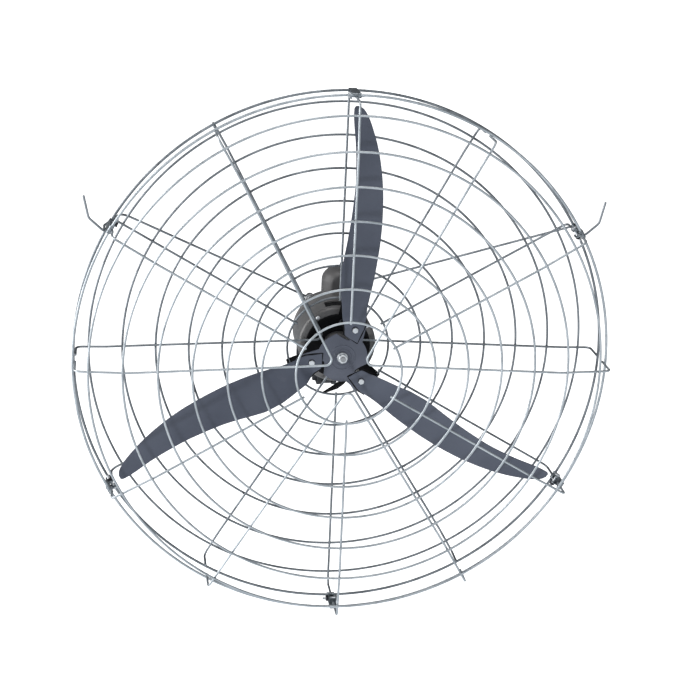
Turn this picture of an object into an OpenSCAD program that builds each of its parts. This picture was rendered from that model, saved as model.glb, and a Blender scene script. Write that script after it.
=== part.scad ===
// Industrial wall fan: a caged three-blade head that swings and tilts on a wall bracket.
// Z is up and the fan blows along -Y. The origin is the middle of the wall plate's back face.

/* [Guard] */
// Diameter of both rim rings, measured between wire centres
guard_d = 800; // [795:1:840]
// Diameter of the innermost ring
inner_ring_d = 156; // [150:1:166]
// Number of concentric rings inside each rim
ring_count = 7; // [7:1:7]
// Distance from the rim in to the outermost ring
rim_step = 22; // [20:0.5:26]
// Diameter of the ring wire
ring_wire_d = 3.5; // [3:0.1:4.2]
// Diameter of the rim wire
rim_wire_d = 4; // [3.6:0.1:5]
// Diameter of the spoke wire
spoke_wire_d = 3.5; // [3:0.1:4.2]
// Depth of the rear guard, from its face rings to its rim
rear_depth = 38; // [34:0.5:42]
// Depth of the front guard, from its face rings to its rim
front_depth = 51; // [46:0.5:56]
// Distance between the two rims
rim_gap = 42; // [40:0.5:46]
// Number of spokes in each guard
spoke_count = 12; // [12:12:12]
// Radius of the bends in the guard wire
wire_bend_r = 9; // [7:0.5:11]
// Distance from the fan axis at which the two legs of a hairpin spoke would meet
hairpin_apex = 24; // [20:0.5:28]

/* [Blades] */
// Gap between the circle of the blade tips and the rims
tip_gap = 19; // [17:0.5:30]
// Number of blades
blade_count = 3; // [3:1:3]
// Widest chord of a blade
blade_chord = 55; // [46:1:62]
// Steepest pitch angle of the blade, near its root
blade_pitch = 25; // [15:0.5:28]
// Thickness of the blade
blade_t = 2; // [1.6:0.1:2.4]
// Radius of the round middle of the hub plate
hub_r = 38; // [36:0.5:42]
// Thickness of the hub plate
hub_t = 3; // [2.5:0.1:4]
// Distance of the hub plate's front in front of the rear guard's face
hub_forward = 56; // [54:0.5:57]

/* [Motor] */
// Diameter of the motor shell
motor_d = 120; // [116:1:124]
// Length of the motor shell
motor_l = 82.5; // [80:0.5:86]
// Diameter of the motor shaft
shaft_d = 14; // [12:0.5:15]
// Distance of the motor's front cover behind the rear guard's face
motor_back = 4.5; // [4:0.1:5]

/* [Gearbox] */
// Depth of the gearbox housing
gearbox_l = 54; // [50:0.5:58]
// Radius of the gear tower
tower_r = 33; // [30:0.5:34]
// Sideways distance from the fan axis to the gear tower's axis
tower_x = 20; // [18:0.5:21]
// Height of the gear tower's top above the fan axis
tower_top = 91; // [86:0.5:96]
// Height of the oscillation knob over the tower
knob_h = 9; // [8:0.5:12]

/* [Wall bracket] */
// Distance from the wall to the rear guard's face
wall_reach = 305; // [300:1:330]
// Height of the fan axis above the middle of the wall plate
axis_z = 75; // [70:0.5:80]
// Distance from the wall screw holes to the sides of the wall plate
plate_side = 11; // [10:0.5:14]
// Distance from the wall screw holes to the top and bottom of the wall plate
plate_end = 12; // [11:0.5:16]
// Thickness of the wall plate
plate_t = 8; // [6:0.5:10]
// Diameter of the wall screw holes
plate_hole_d = 9; // [7:0.5:11]
// Sideways distance between the wall screw holes
hole_w = 36; // [32:0.5:40]
// Upright distance between the wall screw holes
hole_h = 76; // [72:0.5:84]
// Diameter of the neck post on which the head swings
post_d = 18; // [14:0.5:20]
// Diameter of the tilt bolt
tilt_bolt_d = 10; // [8:0.5:11]
// Distance of the tilt bolt below the head's swing bearing
tilt_under = 28; // [26:0.5:32]

/* [Hidden] */

// Running clearance on a radius, overrun of cuts, and the gap between turning faces
fit = 0.05;
eps = 0.5;
face_gap = 0.2;
// Share of a wire's diameter by which welded wires sink into each other
weld_share = 0.1;
// Size of the ball at a wire's bend as a share of the wire
ball_share = 1.03;

// M5 and M10 fasteners: radius, width across flats, heights of head and nut
m5_r = 2.5;
m5_flats = 8;
m5_head_h = 3.5;
m5_nut_h = 4;
m10_flats = 17;
m10_head_h = 6.4;
m10_nut_h = 8;
thread_over = 2;

// Guard places
guard_r = guard_d / 2;
rear_y = -wall_reach;
rear_rim_y = rear_y - rear_depth;
front_rim_y = rear_rim_y - rim_gap;
front_y = front_rim_y - front_depth;
clip_y = (rear_rim_y + front_rim_y) / 2;
spoke_step = 360 / spoke_count;
outer_ring_r = guard_r - rim_step;
inner_ring_r = inner_ring_d / 2;
ring_step = (outer_ring_r - inner_ring_r) / (ring_count - 1);
wire_seat = (ring_wire_d + spoke_wire_d) / 2 - weld_share * ring_wire_d;
rim_seat = (rim_wire_d + spoke_wire_d) / 2 - weld_share * rim_wire_d;
// The spokes' side legs stand inside the rims
leg_r = guard_r - rim_seat;
leg_over = 5;
// Distance from the fan axis at which a hairpin's legs turn straight outwards
knee_r = outer_ring_r - ring_step / 2;
// Share of a hairpin's half turn at which its two corners lie
nose_share = 0.6;

// Rim clips
clip_w = 12;
clip_t = 1.5;
clip_gap = 0.1;
clip_screw_in = 4;
ear_h = 18;
ear_in = 9;
clip_screw_tail = 9;

// Stay rods, each with an upright hook outside the rim
stay_d = 3.5;
stay_r = guard_r + (rim_wire_d + stay_d) / 2 - weld_share * rim_wire_d;
stay_shift = 11;
stay_back = 4;
stay_back_y = rear_y + stay_back;
hook_bend_out = 22.2;
hook_bend_rise = 23.8;
hook_tip_out = 30.2;
hook_tip_rise = 55.8;
eye_r = stay_d / 2 + m5_r + face_gap;
stay_lug_r = 7;
stay_lug_l = 8;
lug_sink = 6;
left_lug_x = -31;
left_lug_up = 42;
right_lug_out = 7;
right_lug_x = tower_x + tower_r + right_lug_out;
right_lug_drop = 21;
right_lug_up = tower_top - right_lug_drop;

// Motor places
motor_r = motor_d / 2;
shaft_r = shaft_d / 2;
cover_t = 6;
shell_t = 3;
motor_front_y = rear_y + motor_back;
shell_y = motor_front_y + cover_t;
shell_end_y = shell_y + motor_l;
gear_y = shell_end_y + cover_t;
bearing_r = 16;
bearing_l = 10;
race_share = 0.35;
race_depth = 1;
boss_r = 21;
boss_l = 9;
boss_edge = 3;
cover_edge = 3;
rear_boss_l = 6;
pocket_wall = 2;
hole_gap = 0.4;
vent_inset = 10;
vent_l = 25;
vent_w = 37;
vent_low_share = 0.8;
tie_in = 6;
tie_r = motor_r - tie_in;
tie_turn = 36;
tie_screw_r = 2;
tie_head_r = 3.5;
tie_head_h = 3;
core_l = 40;
stator_depth = 24;
stator_bore_r = motor_r - stator_depth;
air_gap = 0.7;
rotor_r = stator_bore_r - air_gap;
rotor_l = 44;
coil_under = 2;
coil_in_r = stator_bore_r + coil_under;
coil_over = 9;
coil_out_r = motor_r - coil_over;
coil_l = 12;

// Guard carrier
carrier_t = motor_back - ring_wire_d / 2;
carrier_clear = 0.5;
carrier_r = tie_r - tie_head_r - carrier_clear;
carrier_bore_r = 24;
carrier_arm_share = 0.32;
carrier_arm_w = carrier_r * carrier_arm_share;
carrier_turn = 81;
carrier_screw_in = 12;
carrier_screw_r = carrier_r - carrier_screw_in;
lip_t = 2;
lip_h = 7;
tongue_shares = [
    [-0.50, -1.57], [-0.25, -1.40], [-0.02, -1.24], [0.16, -1.08], [0.24, -0.90],
    [0.44, -0.84], [0.40, -1.04], [0.25, -1.24], [0.06, -1.39], [-0.24, -1.50]
];

// Gearbox places
gear_end_y = gear_y + gearbox_l;
tower_y = gear_y + gearbox_l / 2;
pivot_back = 4;
pivot_y = tower_y - pivot_back;
flange_in = 8;
flange_r = motor_r - flange_in;
gearbox_in = 6;
gearbox_r = flange_r - gearbox_in;
flange_t = 6;
tower_foot = 24;
tower_round_r = 20;
tunnel_r = 14;
chamber_gap = 3;
chamber_h = 16;
back_cover_in = 6;
cover_r = gearbox_r - back_cover_in;
back_cover_t = 5;
cover_screw_in = 6;
socket_r = 22;
socket_z = axis_z - motor_r;
gland_x = -34;
gland_drop = 40;
gland_z = axis_z - gland_drop;
gland_r = 8;
gland_wall = 2.5;
gland_l = 10;
gland_nut_h = 7;
gland_dome_h = 5;

// Worm drive of the oscillation
worm_r = 5.5;
worm_l = 26;
worm_core_r = 4.9;
worm_turns = 8;
worm_lean = 5;
worm_thread_t = 1;
mesh_gap = 0.5;
worm_wheel_r = tower_x - worm_r - mesh_gap;
worm_wheel_t = 10;
chamber_r = worm_wheel_r + chamber_gap;
wheel_teeth = 40;
tooth_r = 0.6;
gear_shaft_r = 4;
gear_shaft_drop = 22;
gear_shaft_short = 38;
gear_shaft_rise = tower_top - gear_shaft_short;
knob_r = 5;
knob_round_r = 2;
knob_stem_l = 30;

// Hub
hub_y = rear_y - hub_forward;
boss_hub_r = 16;
boss_hub_l = 13;
hub_ring_r = 12;
hub_ring_step = 6;
hub_ring_w = 1.5;
hub_ring_h = 0.8;
washer_r = 8;
washer_t = 1.5;
stud_r = 4;
stud_l = 10;
hub_nut_flats = 13;
hub_nut_h = 6.5;
hub_arm_shares = [
    [0.64, -0.77], [1.31, -0.90], [1.58, -0.88], [1.70, -0.79], [1.74, -0.47], [1.66, -0.29], [0.70, -0.26]
];
hub_notch_shares = [[0.98, 0.26], [0.78, -0.04], [0.70, -0.26], [1.89, -0.26], [1.89, 0.37]];
blade_turn = 90;
blade_screw_out = 6;
blade_screw_u = hub_r + blade_screw_out;

// Blade plan: share of the sweep radius, leading and trailing edge in chords, share of the pitch
sweep_r = guard_r - tip_gap;
blade_plan_shares = [
    [0.063, -0.393, -0.371, 0],
    [0.098, -0.485, -0.027, 0],
    [0.126, -0.567, -0.016, 0],
    [0.15, -0.589, 0.038, 0.42],
    [0.173, -0.595, 0.087, 0.8],
    [0.21, -0.622, 0.120, 0.9],
    [0.25, -0.673, 0.155, 1],
    [0.3, -0.742, 0.196, 0.98],
    [0.355, -0.804, 0.194, 0.97],
    [0.41, -0.849, 0.147, 0.87],
    [0.47, -0.887, 0.072, 0.735],
    [0.55, -0.905, -0.011, 0.6],
    [0.63, -0.895, -0.063, 0.57],
    [0.71, -0.845, -0.095, 0.56],
    [0.79, -0.753, -0.080, 0.47],
    [0.855, -0.640, -0.047, 0.35],
    [0.905, -0.524, -0.003, 0.29],
    [0.945, -0.415, 0.029, 0.29],
    [0.97, -0.324, 0.040, 0.29],
    [0.99, -0.218, 0.038, 0.29],
    [1, -0.109, 0.000, 0.29]
];
blade_screw_share = -0.309;
twist_axis_share = -0.618;
blade_camber = 2.5;
blade_cells = 6;

// Neck and bracket
tilt_z = socket_z - tilt_under;
post_r = post_d / 2;
post_l = 36;
table_z = socket_z - face_gap;
table_r = 24;
table_t = 6;
neck_lug_r = 13;
neck_lug_w = 16;
cheek_t = 7.7;
cheek_gap = 0.3;
cheek_r = 15;
fork_w = neck_lug_w + 2 * (cheek_gap + cheek_t);
fork_back = 20;
fork_back_y = pivot_y + fork_back;
plate_w = hole_w + 2 * plate_side;
plate_h = hole_h + 2 * plate_end;
root_w = 40;
root_h = 48;
root_t = 4;
plate_corner_r = 16;
tilt_bolt_r = tilt_bolt_d / 2;

/* Shared shapes */
// Places children, drawn about the Z axis and rising forward, on the fan axis
module on_axis(y) translate([0, y, axis_z]) rotate([90, 0, 0]) children();
// Places children, drawn along +X, at an angle round the fan axis counted from +X towards +Z
module from_axis(a) translate([0, 0, axis_z]) rotate([0, -a, 0]) children();

// A round bar between two points
module bar(a, b, d) {
    v = b - a;
    len = norm(v);
    translate(a) rotate([0, acos(v[2] / len), atan2(v[1], v[0])]) cylinder(d = d, h = len, $fn = 32);
}
// The ball that joins two runs of a wire
module ball(p, d) translate(p) sphere(d = d * ball_share, $fn = 32);
// A bent wire through points, with a ball at each inner point
module wire(points, d) {
    for (i = [0 : len(points) - 2]) bar(points[i], points[i + 1], d);
    for (i = [1 : len(points) - 2]) ball(points[i], d);
}
// A hexagonal prism across its flats
module hex(flats, h) cylinder(d = flats / cos(30), h = h, $fn = 6);
// A hexagonal nut with its bore
module nut(flats, h, r) difference() {
    hex(flats, h);
    translate([0, 0, -eps]) cylinder(r = r + fit, h = h + 2 * eps, $fn = 32);
}
// An M5 screw: the head rises from Z = 0, the shank goes down
module m5_screw(l) {
    hex(m5_flats, m5_head_h);
    translate([0, 0, -l]) cylinder(r = m5_r, h = l + eps, $fn = 32);
}
// A round column with a rounded top edge
module domed(r, h, round_r) rotate_extrude($fn = 128) {
    square([r, h - round_r]);
    square([r - round_r, h]);
    translate([r - round_r, h - round_r]) circle(round_r, $fn = 96);
}
// A washer-like cylinder
module tube(r, bore_r, h) difference() {
    cylinder(r = r, h = h, $fn = 128);
    translate([0, 0, -eps]) cylinder(r = bore_r, h = h + 2 * eps, $fn = 128);
}

/* Wall bracket: plate, arm, tilt bolt and its nut */
module wall_plate() color([0.16, 0.17, 0.18]) rotate([90, 0, 0]) difference() {
    linear_extrude(plate_t) hull() for (x = [-1, 1], z = [-1, 1])
        translate([x * (plate_w / 2 - plate_corner_r), z * (plate_h / 2 - plate_corner_r)])
            circle(plate_corner_r, $fn = 32);
    for (x = [-1, 1], z = [-1, 1]) translate([x * hole_w / 2, z * hole_h / 2, -eps])
        cylinder(d = plate_hole_d, h = plate_t + 2 * eps, $fn = 32);
}
wall_plate();

module wall_arm() color([0.16, 0.17, 0.18]) difference() {
    union() {
        hull() {
            translate([-root_w / 2, -plate_t - root_t, -root_h / 2]) cube([root_w, root_t, root_h]);
            translate([-fork_w / 2, fork_back_y, tilt_z - cheek_r]) cube([fork_w, cheek_r, 2 * cheek_r]);
        }
        for (side = [-1, 1]) translate([side * (fork_w - cheek_t) / 2 - cheek_t / 2, pivot_y, tilt_z]) {
            rotate([0, 90, 0]) cylinder(r = cheek_r, h = cheek_t, $fn = 64);
            translate([0, 0, -cheek_r]) cube([cheek_t, fork_back + eps, 2 * cheek_r]);
        }
    }
    translate([-fork_w, pivot_y, tilt_z]) rotate([0, 90, 0])
        cylinder(r = tilt_bolt_r + fit, h = 2 * fork_w, $fn = 64);
}
wall_arm();

module tilt_bolt() color([0.7, 0.72, 0.74]) translate([-fork_w / 2, pivot_y, tilt_z]) rotate([0, 90, 0]) {
    translate([0, 0, -m10_head_h]) hex(m10_flats, m10_head_h);
    cylinder(r = tilt_bolt_r, h = fork_w + m10_nut_h + thread_over, $fn = 64);
}
tilt_bolt();

module tilt_nut() color([0.7, 0.72, 0.74]) translate([fork_w / 2, pivot_y, tilt_z])
    rotate([0, 90, 0]) nut(m10_flats, m10_nut_h, tilt_bolt_r);
tilt_nut();

/* Neck: it tilts in the bracket's fork and carries the post on which the head swings */
module tilt_neck() color([0.16, 0.17, 0.18]) difference() {
    union() {
        translate([0, pivot_y, table_z - table_t]) cylinder(r = table_r, h = table_t, $fn = 96);
        translate([-neck_lug_w / 2, pivot_y, tilt_z]) rotate([0, 90, 0])
            cylinder(r = neck_lug_r, h = neck_lug_w, $fn = 64);
        translate([-neck_lug_w / 2, pivot_y - neck_lug_r, tilt_z])
            cube([neck_lug_w, 2 * neck_lug_r, table_z - table_t / 2 - tilt_z]);
    }
    translate([-neck_lug_w, pivot_y, tilt_z]) rotate([0, 90, 0])
        cylinder(r = tilt_bolt_r + fit, h = 2 * neck_lug_w, $fn = 64);
    translate([0, pivot_y, table_z - table_t])
        cylinder(r = post_r + fit, h = table_t + eps, $fn = 64);
}
tilt_neck();

module neck_post() color([0.7, 0.72, 0.74])
    translate([0, pivot_y, table_z - table_t]) cylinder(r = post_r, h = table_t + post_l, $fn = 64);
neck_post();

/* Gearbox: a round body on the fan axis, a domed tower and the socket of the neck post */
module gearbox_housing() color([0.33, 0.32, 0.33]) difference() {
    union() {
        on_axis(gear_end_y) cylinder(r = gearbox_r, h = gearbox_l, $fn = 128);
        on_axis(gear_y + flange_t) cylinder(r = flange_r, h = flange_t, $fn = 128);
        intersection() {
            translate([tower_x, tower_y, axis_z - tower_foot])
                domed(tower_r, tower_foot + tower_top, tower_round_r);
            translate([tower_x - tower_r, gear_y, axis_z - tower_foot])
                cube([2 * tower_r, gearbox_l, tower_foot + tower_top]);
        }
        translate([0, pivot_y, socket_z]) cylinder(r = socket_r, h = motor_r, $fn = 96);
        translate([gland_x, tower_y, gland_z])
            cylinder(r = gland_r + gland_wall, h = gland_drop, $fn = 48);
        left_lug();
        right_lug();
    }
    translate([0, eps, 0]) on_axis(gear_end_y)
        cylinder(r = tunnel_r, h = gearbox_l + 2 * eps, $fn = 96);
    translate([tower_x, tower_y, axis_z - chamber_h / 2]) cylinder(r = chamber_r, h = chamber_h, $fn = 96);
    translate([0, pivot_y, socket_z - eps])
        cylinder(r = post_r + fit, h = post_l + 2 * eps, $fn = 64);
    translate([tower_x, tower_y, axis_z - gear_shaft_drop - eps])
        cylinder(r = gear_shaft_r + fit, h = gear_shaft_drop + tower_top + 2 * eps, $fn = 64);
    translate([gland_x, tower_y, gland_z - eps]) cylinder(r = gland_r + fit, h = gland_l + eps, $fn = 48);
    for (p = [[left_lug_x, left_lug_up], [right_lug_x, right_lug_up]])
        translate([p[0], tower_y + stay_lug_l, axis_z + p[1]]) rotate([90, 0, 0])
            cylinder(r = m5_r + fit, h = 2 * stay_lug_l, $fn = 32);
}
// Lugs for the stay rods, drilled along Y
module lug(l) rotate([90, 0, 0]) translate([0, 0, -stay_lug_l / 2]) {
    cylinder(r = stay_lug_r, h = stay_lug_l, $fn = 48);
    translate([-l, -stay_lug_r, 0]) cube([l, 2 * stay_lug_r, stay_lug_l]);
}
module left_lug() translate([left_lug_x, tower_y, axis_z + left_lug_up])
    rotate([0, -atan2(left_lug_up, left_lug_x), 0])
        lug(norm([left_lug_x, left_lug_up]) - gearbox_r + lug_sink);
module right_lug() translate([right_lug_x, tower_y, axis_z + right_lug_up])
    lug(right_lug_x - tower_x - tower_r + lug_sink);
gearbox_housing();

module at_cover_screws() on_axis(gear_end_y + back_cover_t) for (k = [0 : 3])
    rotate([0, 0, 45 + 90 * k]) translate([cover_r - cover_screw_in, 0, 0]) mirror([0, 0, 1]) children();
module gearbox_cover() color([0.2, 0.2, 0.21]) difference() {
    on_axis(gear_end_y + back_cover_t) {
        cylinder(r1 = cover_r - back_cover_t / 2, r2 = cover_r, h = back_cover_t / 2, $fn = 96);
        translate([0, 0, back_cover_t / 2]) cylinder(r = cover_r, h = back_cover_t / 2, $fn = 96);
    }
    at_cover_screws() translate([0, 0, -back_cover_t - eps])
        cylinder(r = m5_r + fit, h = back_cover_t + 2 * eps, $fn = 32);
}
gearbox_cover();

module cover_screws() color([0.7, 0.72, 0.74]) at_cover_screws() m5_screw(back_cover_t);
cover_screws();

// Gland under the gearbox, where the supply cord would enter, closed by a domed blank
module cable_gland() color([0.1, 0.1, 0.1]) translate([gland_x, tower_y, gland_z]) {
    translate([0, 0, -gland_nut_h]) hex(2 * gland_r + gland_wall, gland_nut_h);
    cylinder(r = gland_r, h = gland_l - eps, $fn = 48);
    translate([0, 0, -gland_nut_h - gland_dome_h])
        cylinder(r1 = gland_r - gland_wall, r2 = gland_r, h = gland_dome_h, $fn = 48);
}
cable_gland();

/* Motor */
module motor_shell() color([0.36, 0.34, 0.34]) difference() {
    on_axis(shell_end_y) tube(motor_r, motor_r - shell_t, motor_l);
    for (side = [0, 1]) translate([0, shell_y + vent_inset, axis_z]) rotate([0, 180 * side, 0])
        translate([-vent_w / 2, 0, motor_r * vent_low_share]) cube([vent_w, vent_l, motor_r]);
}
motor_shell();

module at_ties() for (k = [0 : 3]) rotate([0, 0, tie_turn + 90 * k]) translate([tie_r, 0, 0]) children();
module tie_holes(h) at_ties() translate([0, 0, -eps]) cylinder(r = tie_screw_r + fit, h = h + 2 * eps, $fn = 32);
module at_carrier_screws() for (k = [0 : 2]) rotate([0, 0, carrier_turn + 120 * k])
    translate([carrier_screw_r, 0, 0]) children();

// Front cover: a flat dish with the front bearing's boss
module motor_front_cover() color([0.24, 0.23, 0.24]) on_axis(shell_y) difference() {
    rotate_extrude($fn = 192) polygon([
        [0, 0], [motor_r, 0], [motor_r, cover_t - cover_edge], [motor_r - cover_edge, cover_t],
        [boss_r + boss_edge, cover_t], [boss_r, cover_t + boss_edge],
        [boss_r, cover_t + boss_l - boss_edge], [boss_r - boss_edge, cover_t + boss_l], [0, cover_t + boss_l]
    ]);
    translate([0, 0, -eps]) cylinder(r = bearing_r + fit, h = bearing_l + eps, $fn = 96);
    cylinder(r = shaft_r + hole_gap, h = cover_t + boss_l + eps, $fn = 96);
    tie_holes(cover_t);
    at_carrier_screws() translate([0, 0, face_gap]) cylinder(r = m5_r + fit, h = cover_t, $fn = 32);
}
motor_front_cover();

module motor_rear_cover() color([0.36, 0.34, 0.34]) on_axis(gear_y) difference() {
    union() {
        cylinder(r = motor_r, h = cover_t, $fn = 192);
        cylinder(r = boss_r, h = cover_t + rear_boss_l, $fn = 96);
    }
    translate([0, 0, pocket_wall]) cylinder(r = bearing_r + fit, h = cover_t + rear_boss_l, $fn = 96);
    translate([0, 0, -eps]) cylinder(r = stud_r + hole_gap, h = cover_t, $fn = 96);
    tie_holes(cover_t);
}
motor_rear_cover();

module tie_screws() color([0.7, 0.72, 0.74]) on_axis(motor_front_y) at_ties() {
    cylinder(r = tie_head_r, h = tie_head_h, $fn = 32);
    translate([0, 0, -motor_l - 2 * cover_t + pocket_wall])
        cylinder(r = tie_screw_r, h = motor_l + 2 * cover_t, $fn = 32);
}
tie_screws();

core_y = shell_y + (motor_l + core_l) / 2;
module stator_core() color([0.4, 0.4, 0.42]) on_axis(core_y) difference() {
    tube(motor_r - shell_t - fit, stator_bore_r, core_l);
    at_ties() translate([0, 0, -eps])
        cylinder(r = tie_screw_r + hole_gap, h = core_l + 2 * eps, $fn = 32);
}
stator_core();

module stator_coils() color([0.62, 0.32, 0.14])
    for (y = [core_y + coil_l, core_y - core_l]) on_axis(y) tube(coil_out_r, coil_in_r, coil_l);
stator_coils();

// A bearing with the gap between its rings shown as a groove in each face
module bearing() difference() {
    tube(bearing_r, shaft_r + fit, bearing_l);
    for (z = [-eps, bearing_l - race_depth]) translate([0, 0, z])
        tube(bearing_r - race_share * (bearing_r - shaft_r), shaft_r + race_share * (bearing_r - shaft_r),
            race_depth + eps);
}
module front_bearing() color([0.6, 0.62, 0.64]) on_axis(shell_y) bearing();
front_bearing();
module rear_bearing() color([0.6, 0.62, 0.64]) on_axis(gear_y - pocket_wall) bearing();
rear_bearing();

/* Guard carrier: the black plate that holds the rear guard's innermost ring to the motor */
module guard_carrier() color([0.05, 0.05, 0.055]) on_axis(motor_front_y) difference() {
    union() {
        cylinder(r = carrier_r, h = carrier_t, $fn = 128);
        linear_extrude(carrier_t) polygon(tongue_shares * carrier_r);
        for (k = [0 : 2]) rotate([0, 0, carrier_turn + 120 * k]) {
            translate([0, -carrier_arm_w / 2, 0])
                cube([inner_ring_r + ring_wire_d / 2 + face_gap + lip_t, carrier_arm_w, carrier_t]);
            translate([inner_ring_r + ring_wire_d / 2 + face_gap, -carrier_arm_w / 2, 0])
                cube([lip_t, carrier_arm_w, lip_h]);
        }
    }
    translate([0, 0, -eps]) cylinder(r = carrier_bore_r, h = carrier_t + 2 * eps, $fn = 96);
    at_carrier_screws() translate([0, 0, -eps])
        cylinder(r = m5_r + fit, h = carrier_t + 2 * eps, $fn = 32);
}
guard_carrier();

module carrier_screws() color([0.3, 0.3, 0.31]) on_axis(motor_front_y - carrier_t)
    at_carrier_screws() m5_screw(carrier_t + cover_t - eps);
carrier_screws();

/* Guards */
module ring(r, y, d) on_axis(y) rotate_extrude($fn = 180) translate([r, 0]) circle(d = d, $fn = 24);

// One spoke in the XY plane: along the face, round a bend, then along the side to the rim
module spoke(start_r, face_y, rim_y) {
    side = sign(rim_y - face_y);
    turn_x = leg_r - wire_bend_r;
    turn_y = face_y + side * wire_bend_r;
    bar([start_r, face_y, 0], [turn_x, face_y, 0], spoke_wire_d);
    translate([turn_x, turn_y, 0]) rotate([0, 0, side > 0 ? -90 : 0])
        rotate_extrude(angle = 90, $fn = 96) translate([wire_bend_r, 0])
            circle(d = spoke_wire_d, $fn = 24);
    bar([leg_r, turn_y, 0], [leg_r, rim_y + side * leg_over, 0], spoke_wire_d);
}

// Two spokes made of one wire that turns back near the fan axis, about +X
module hairpin(face_y, rim_y) {
    knee_x = knee_r * cos(spoke_step);
    knee_z = knee_r * sin(spoke_step);
    lean = atan2(knee_z, knee_x - hairpin_apex);
    turn_x = hairpin_apex + wire_bend_r / sin(lean);
    nose_turn = nose_share * (90 - lean);
    nose = [for (t = [-nose_turn, nose_turn])
        [turn_x - wire_bend_r * cos(t), face_y, -wire_bend_r * sin(t)]];
    wire(concat([[knee_x, face_y, -knee_z]], nose, [[knee_x, face_y, knee_z]]), spoke_wire_d);
    for (s = [-1, 1]) rotate([0, s * spoke_step, 0]) {
        ball([knee_r, face_y, 0], spoke_wire_d);
        spoke(knee_r, face_y, rim_y);
    }
}
// A guard: rings, a rim, and by turns a hairpin and a straight spoke; the spokes lie on side_y of the rings
module guard(face_y, side_y, rim_y) {
    for (k = [0 : ring_count - 1]) ring(inner_ring_r + k * ring_step, face_y, ring_wire_d);
    ring(guard_r, rim_y, rim_wire_d);
    for (k = [0 : spoke_count / 2 - 1]) from_axis(spoke_step + 2 * k * spoke_step)
        spoke(inner_ring_r - ring_wire_d, face_y + side_y, rim_y);
    for (k = [0 : spoke_count / 4 - 1]) from_axis(spoke_step + 4 * k * spoke_step)
        hairpin(face_y + side_y, rim_y);
}
module rear_guard() color([0.72, 0.75, 0.78]) guard(rear_y, -wire_seat, rear_rim_y);
rear_guard();
module front_guard() color([0.74, 0.77, 0.8]) guard(front_y, wire_seat, front_rim_y);
front_guard();

/* Rim clips: a strap from rim to rim with an eye at each end and two ears for a cross screw */
module rim_clip(k) color([0.06, 0.06, 0.065]) from_axis(spoke_step * (2 * k - 1)) difference() {
    union() {
        for (y = [rear_rim_y, front_rim_y]) translate([guard_r, y, -clip_w / 2])
            cylinder(r = rim_wire_d / 2 + clip_gap + clip_t, h = clip_w, $fn = 48);
        translate([guard_r + rim_wire_d / 2 + clip_gap, front_rim_y, -clip_w / 2])
            cube([clip_t, rim_gap, clip_w]);
        for (s = [-1, 1]) translate([guard_r - ear_in, clip_y - ear_h / 2, s * (clip_w - clip_t) / 2 - clip_t / 2])
            cube([ear_in + rim_wire_d / 2 + clip_gap + clip_t / 2, ear_h, clip_t]);
    }
    for (y = [rear_rim_y, front_rim_y]) translate([guard_r, y, -clip_w])
        cylinder(r = rim_wire_d / 2 + clip_gap, h = 2 * clip_w, $fn = 48);
    translate([leg_r, rear_rim_y + leg_over + rim_wire_d, 0]) rotate([90, 0, 0])
        cylinder(r = spoke_wire_d / 2 + clip_gap, h = rim_gap + 2 * (leg_over + rim_wire_d), $fn = 32);
    translate([guard_r - clip_screw_in, clip_y, -clip_w]) cylinder(r = m5_r + fit, h = 2 * clip_w, $fn = 32);
}
module rim_clip_1() rim_clip(1);
module rim_clip_2() rim_clip(2);
module rim_clip_3() rim_clip(3);
module rim_clip_4() rim_clip(4);
module rim_clip_5() rim_clip(5);
module rim_clip_6() rim_clip(6);
rim_clip_1();
rim_clip_2();
rim_clip_3();
rim_clip_4();
rim_clip_5();
rim_clip_6();

module at_clips() for (k = [1 : 6]) from_axis(spoke_step * (2 * k - 1))
    translate([guard_r - clip_screw_in, clip_y, 0]) children();
module clip_screws() color([0.3, 0.3, 0.31]) at_clips()
    translate([0, 0, clip_w / 2]) m5_screw(clip_w + clip_screw_tail);
clip_screws();
module clip_nuts() color([0.3, 0.3, 0.31]) at_clips()
    translate([0, 0, -clip_w / 2 - m5_nut_h]) nut(m5_flats, m5_nut_h, m5_r);
clip_nuts();

/* Stay rods: from a hook outside the rim, back past the rear guard, to an eye at the gearbox */
module stay_rod(side, lug_x, lug_up) color([0.6, 0.61, 0.62]) translate([0, 0, axis_z]) {
    foot_x = side * (stay_r * cos(spoke_step) + stay_shift * sin(spoke_step));
    foot_up = stay_r * sin(spoke_step) - stay_shift * cos(spoke_step);
    eye_y = tower_y - (stay_lug_l + stay_d) / 2;
    eye_dir = [foot_x - lug_x, foot_up - lug_up] / norm([foot_x - lug_x, foot_up - lug_up]);
    wire([
        [foot_x + side * hook_tip_out, clip_y, foot_up + hook_tip_rise],
        [foot_x + side * hook_bend_out, clip_y, foot_up + hook_bend_rise],
        [foot_x, clip_y, foot_up], [foot_x, stay_back_y, foot_up],
        [lug_x + eye_r * eye_dir[0], eye_y, lug_up + eye_r * eye_dir[1]]
    ], stay_d);
    translate([lug_x, eye_y, lug_up]) rotate([90, 0, 0]) rotate_extrude($fn = 96)
        translate([eye_r, 0]) circle(d = stay_d, $fn = 24);
}
module stay_rod_left() stay_rod(-1, left_lug_x, left_lug_up);
stay_rod_left();
module stay_rod_right() stay_rod(1, right_lug_x, right_lug_up);
stay_rod_right();

module stay_screws() color([0.7, 0.72, 0.74])
    for (p = [[left_lug_x, left_lug_up], [right_lug_x, right_lug_up]])
        translate([p[0], tower_y - stay_lug_l / 2 - stay_d, axis_z + p[1]]) rotate([90, 0, 0])
            m5_screw(stay_d + stay_lug_l);
stay_screws();

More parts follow.
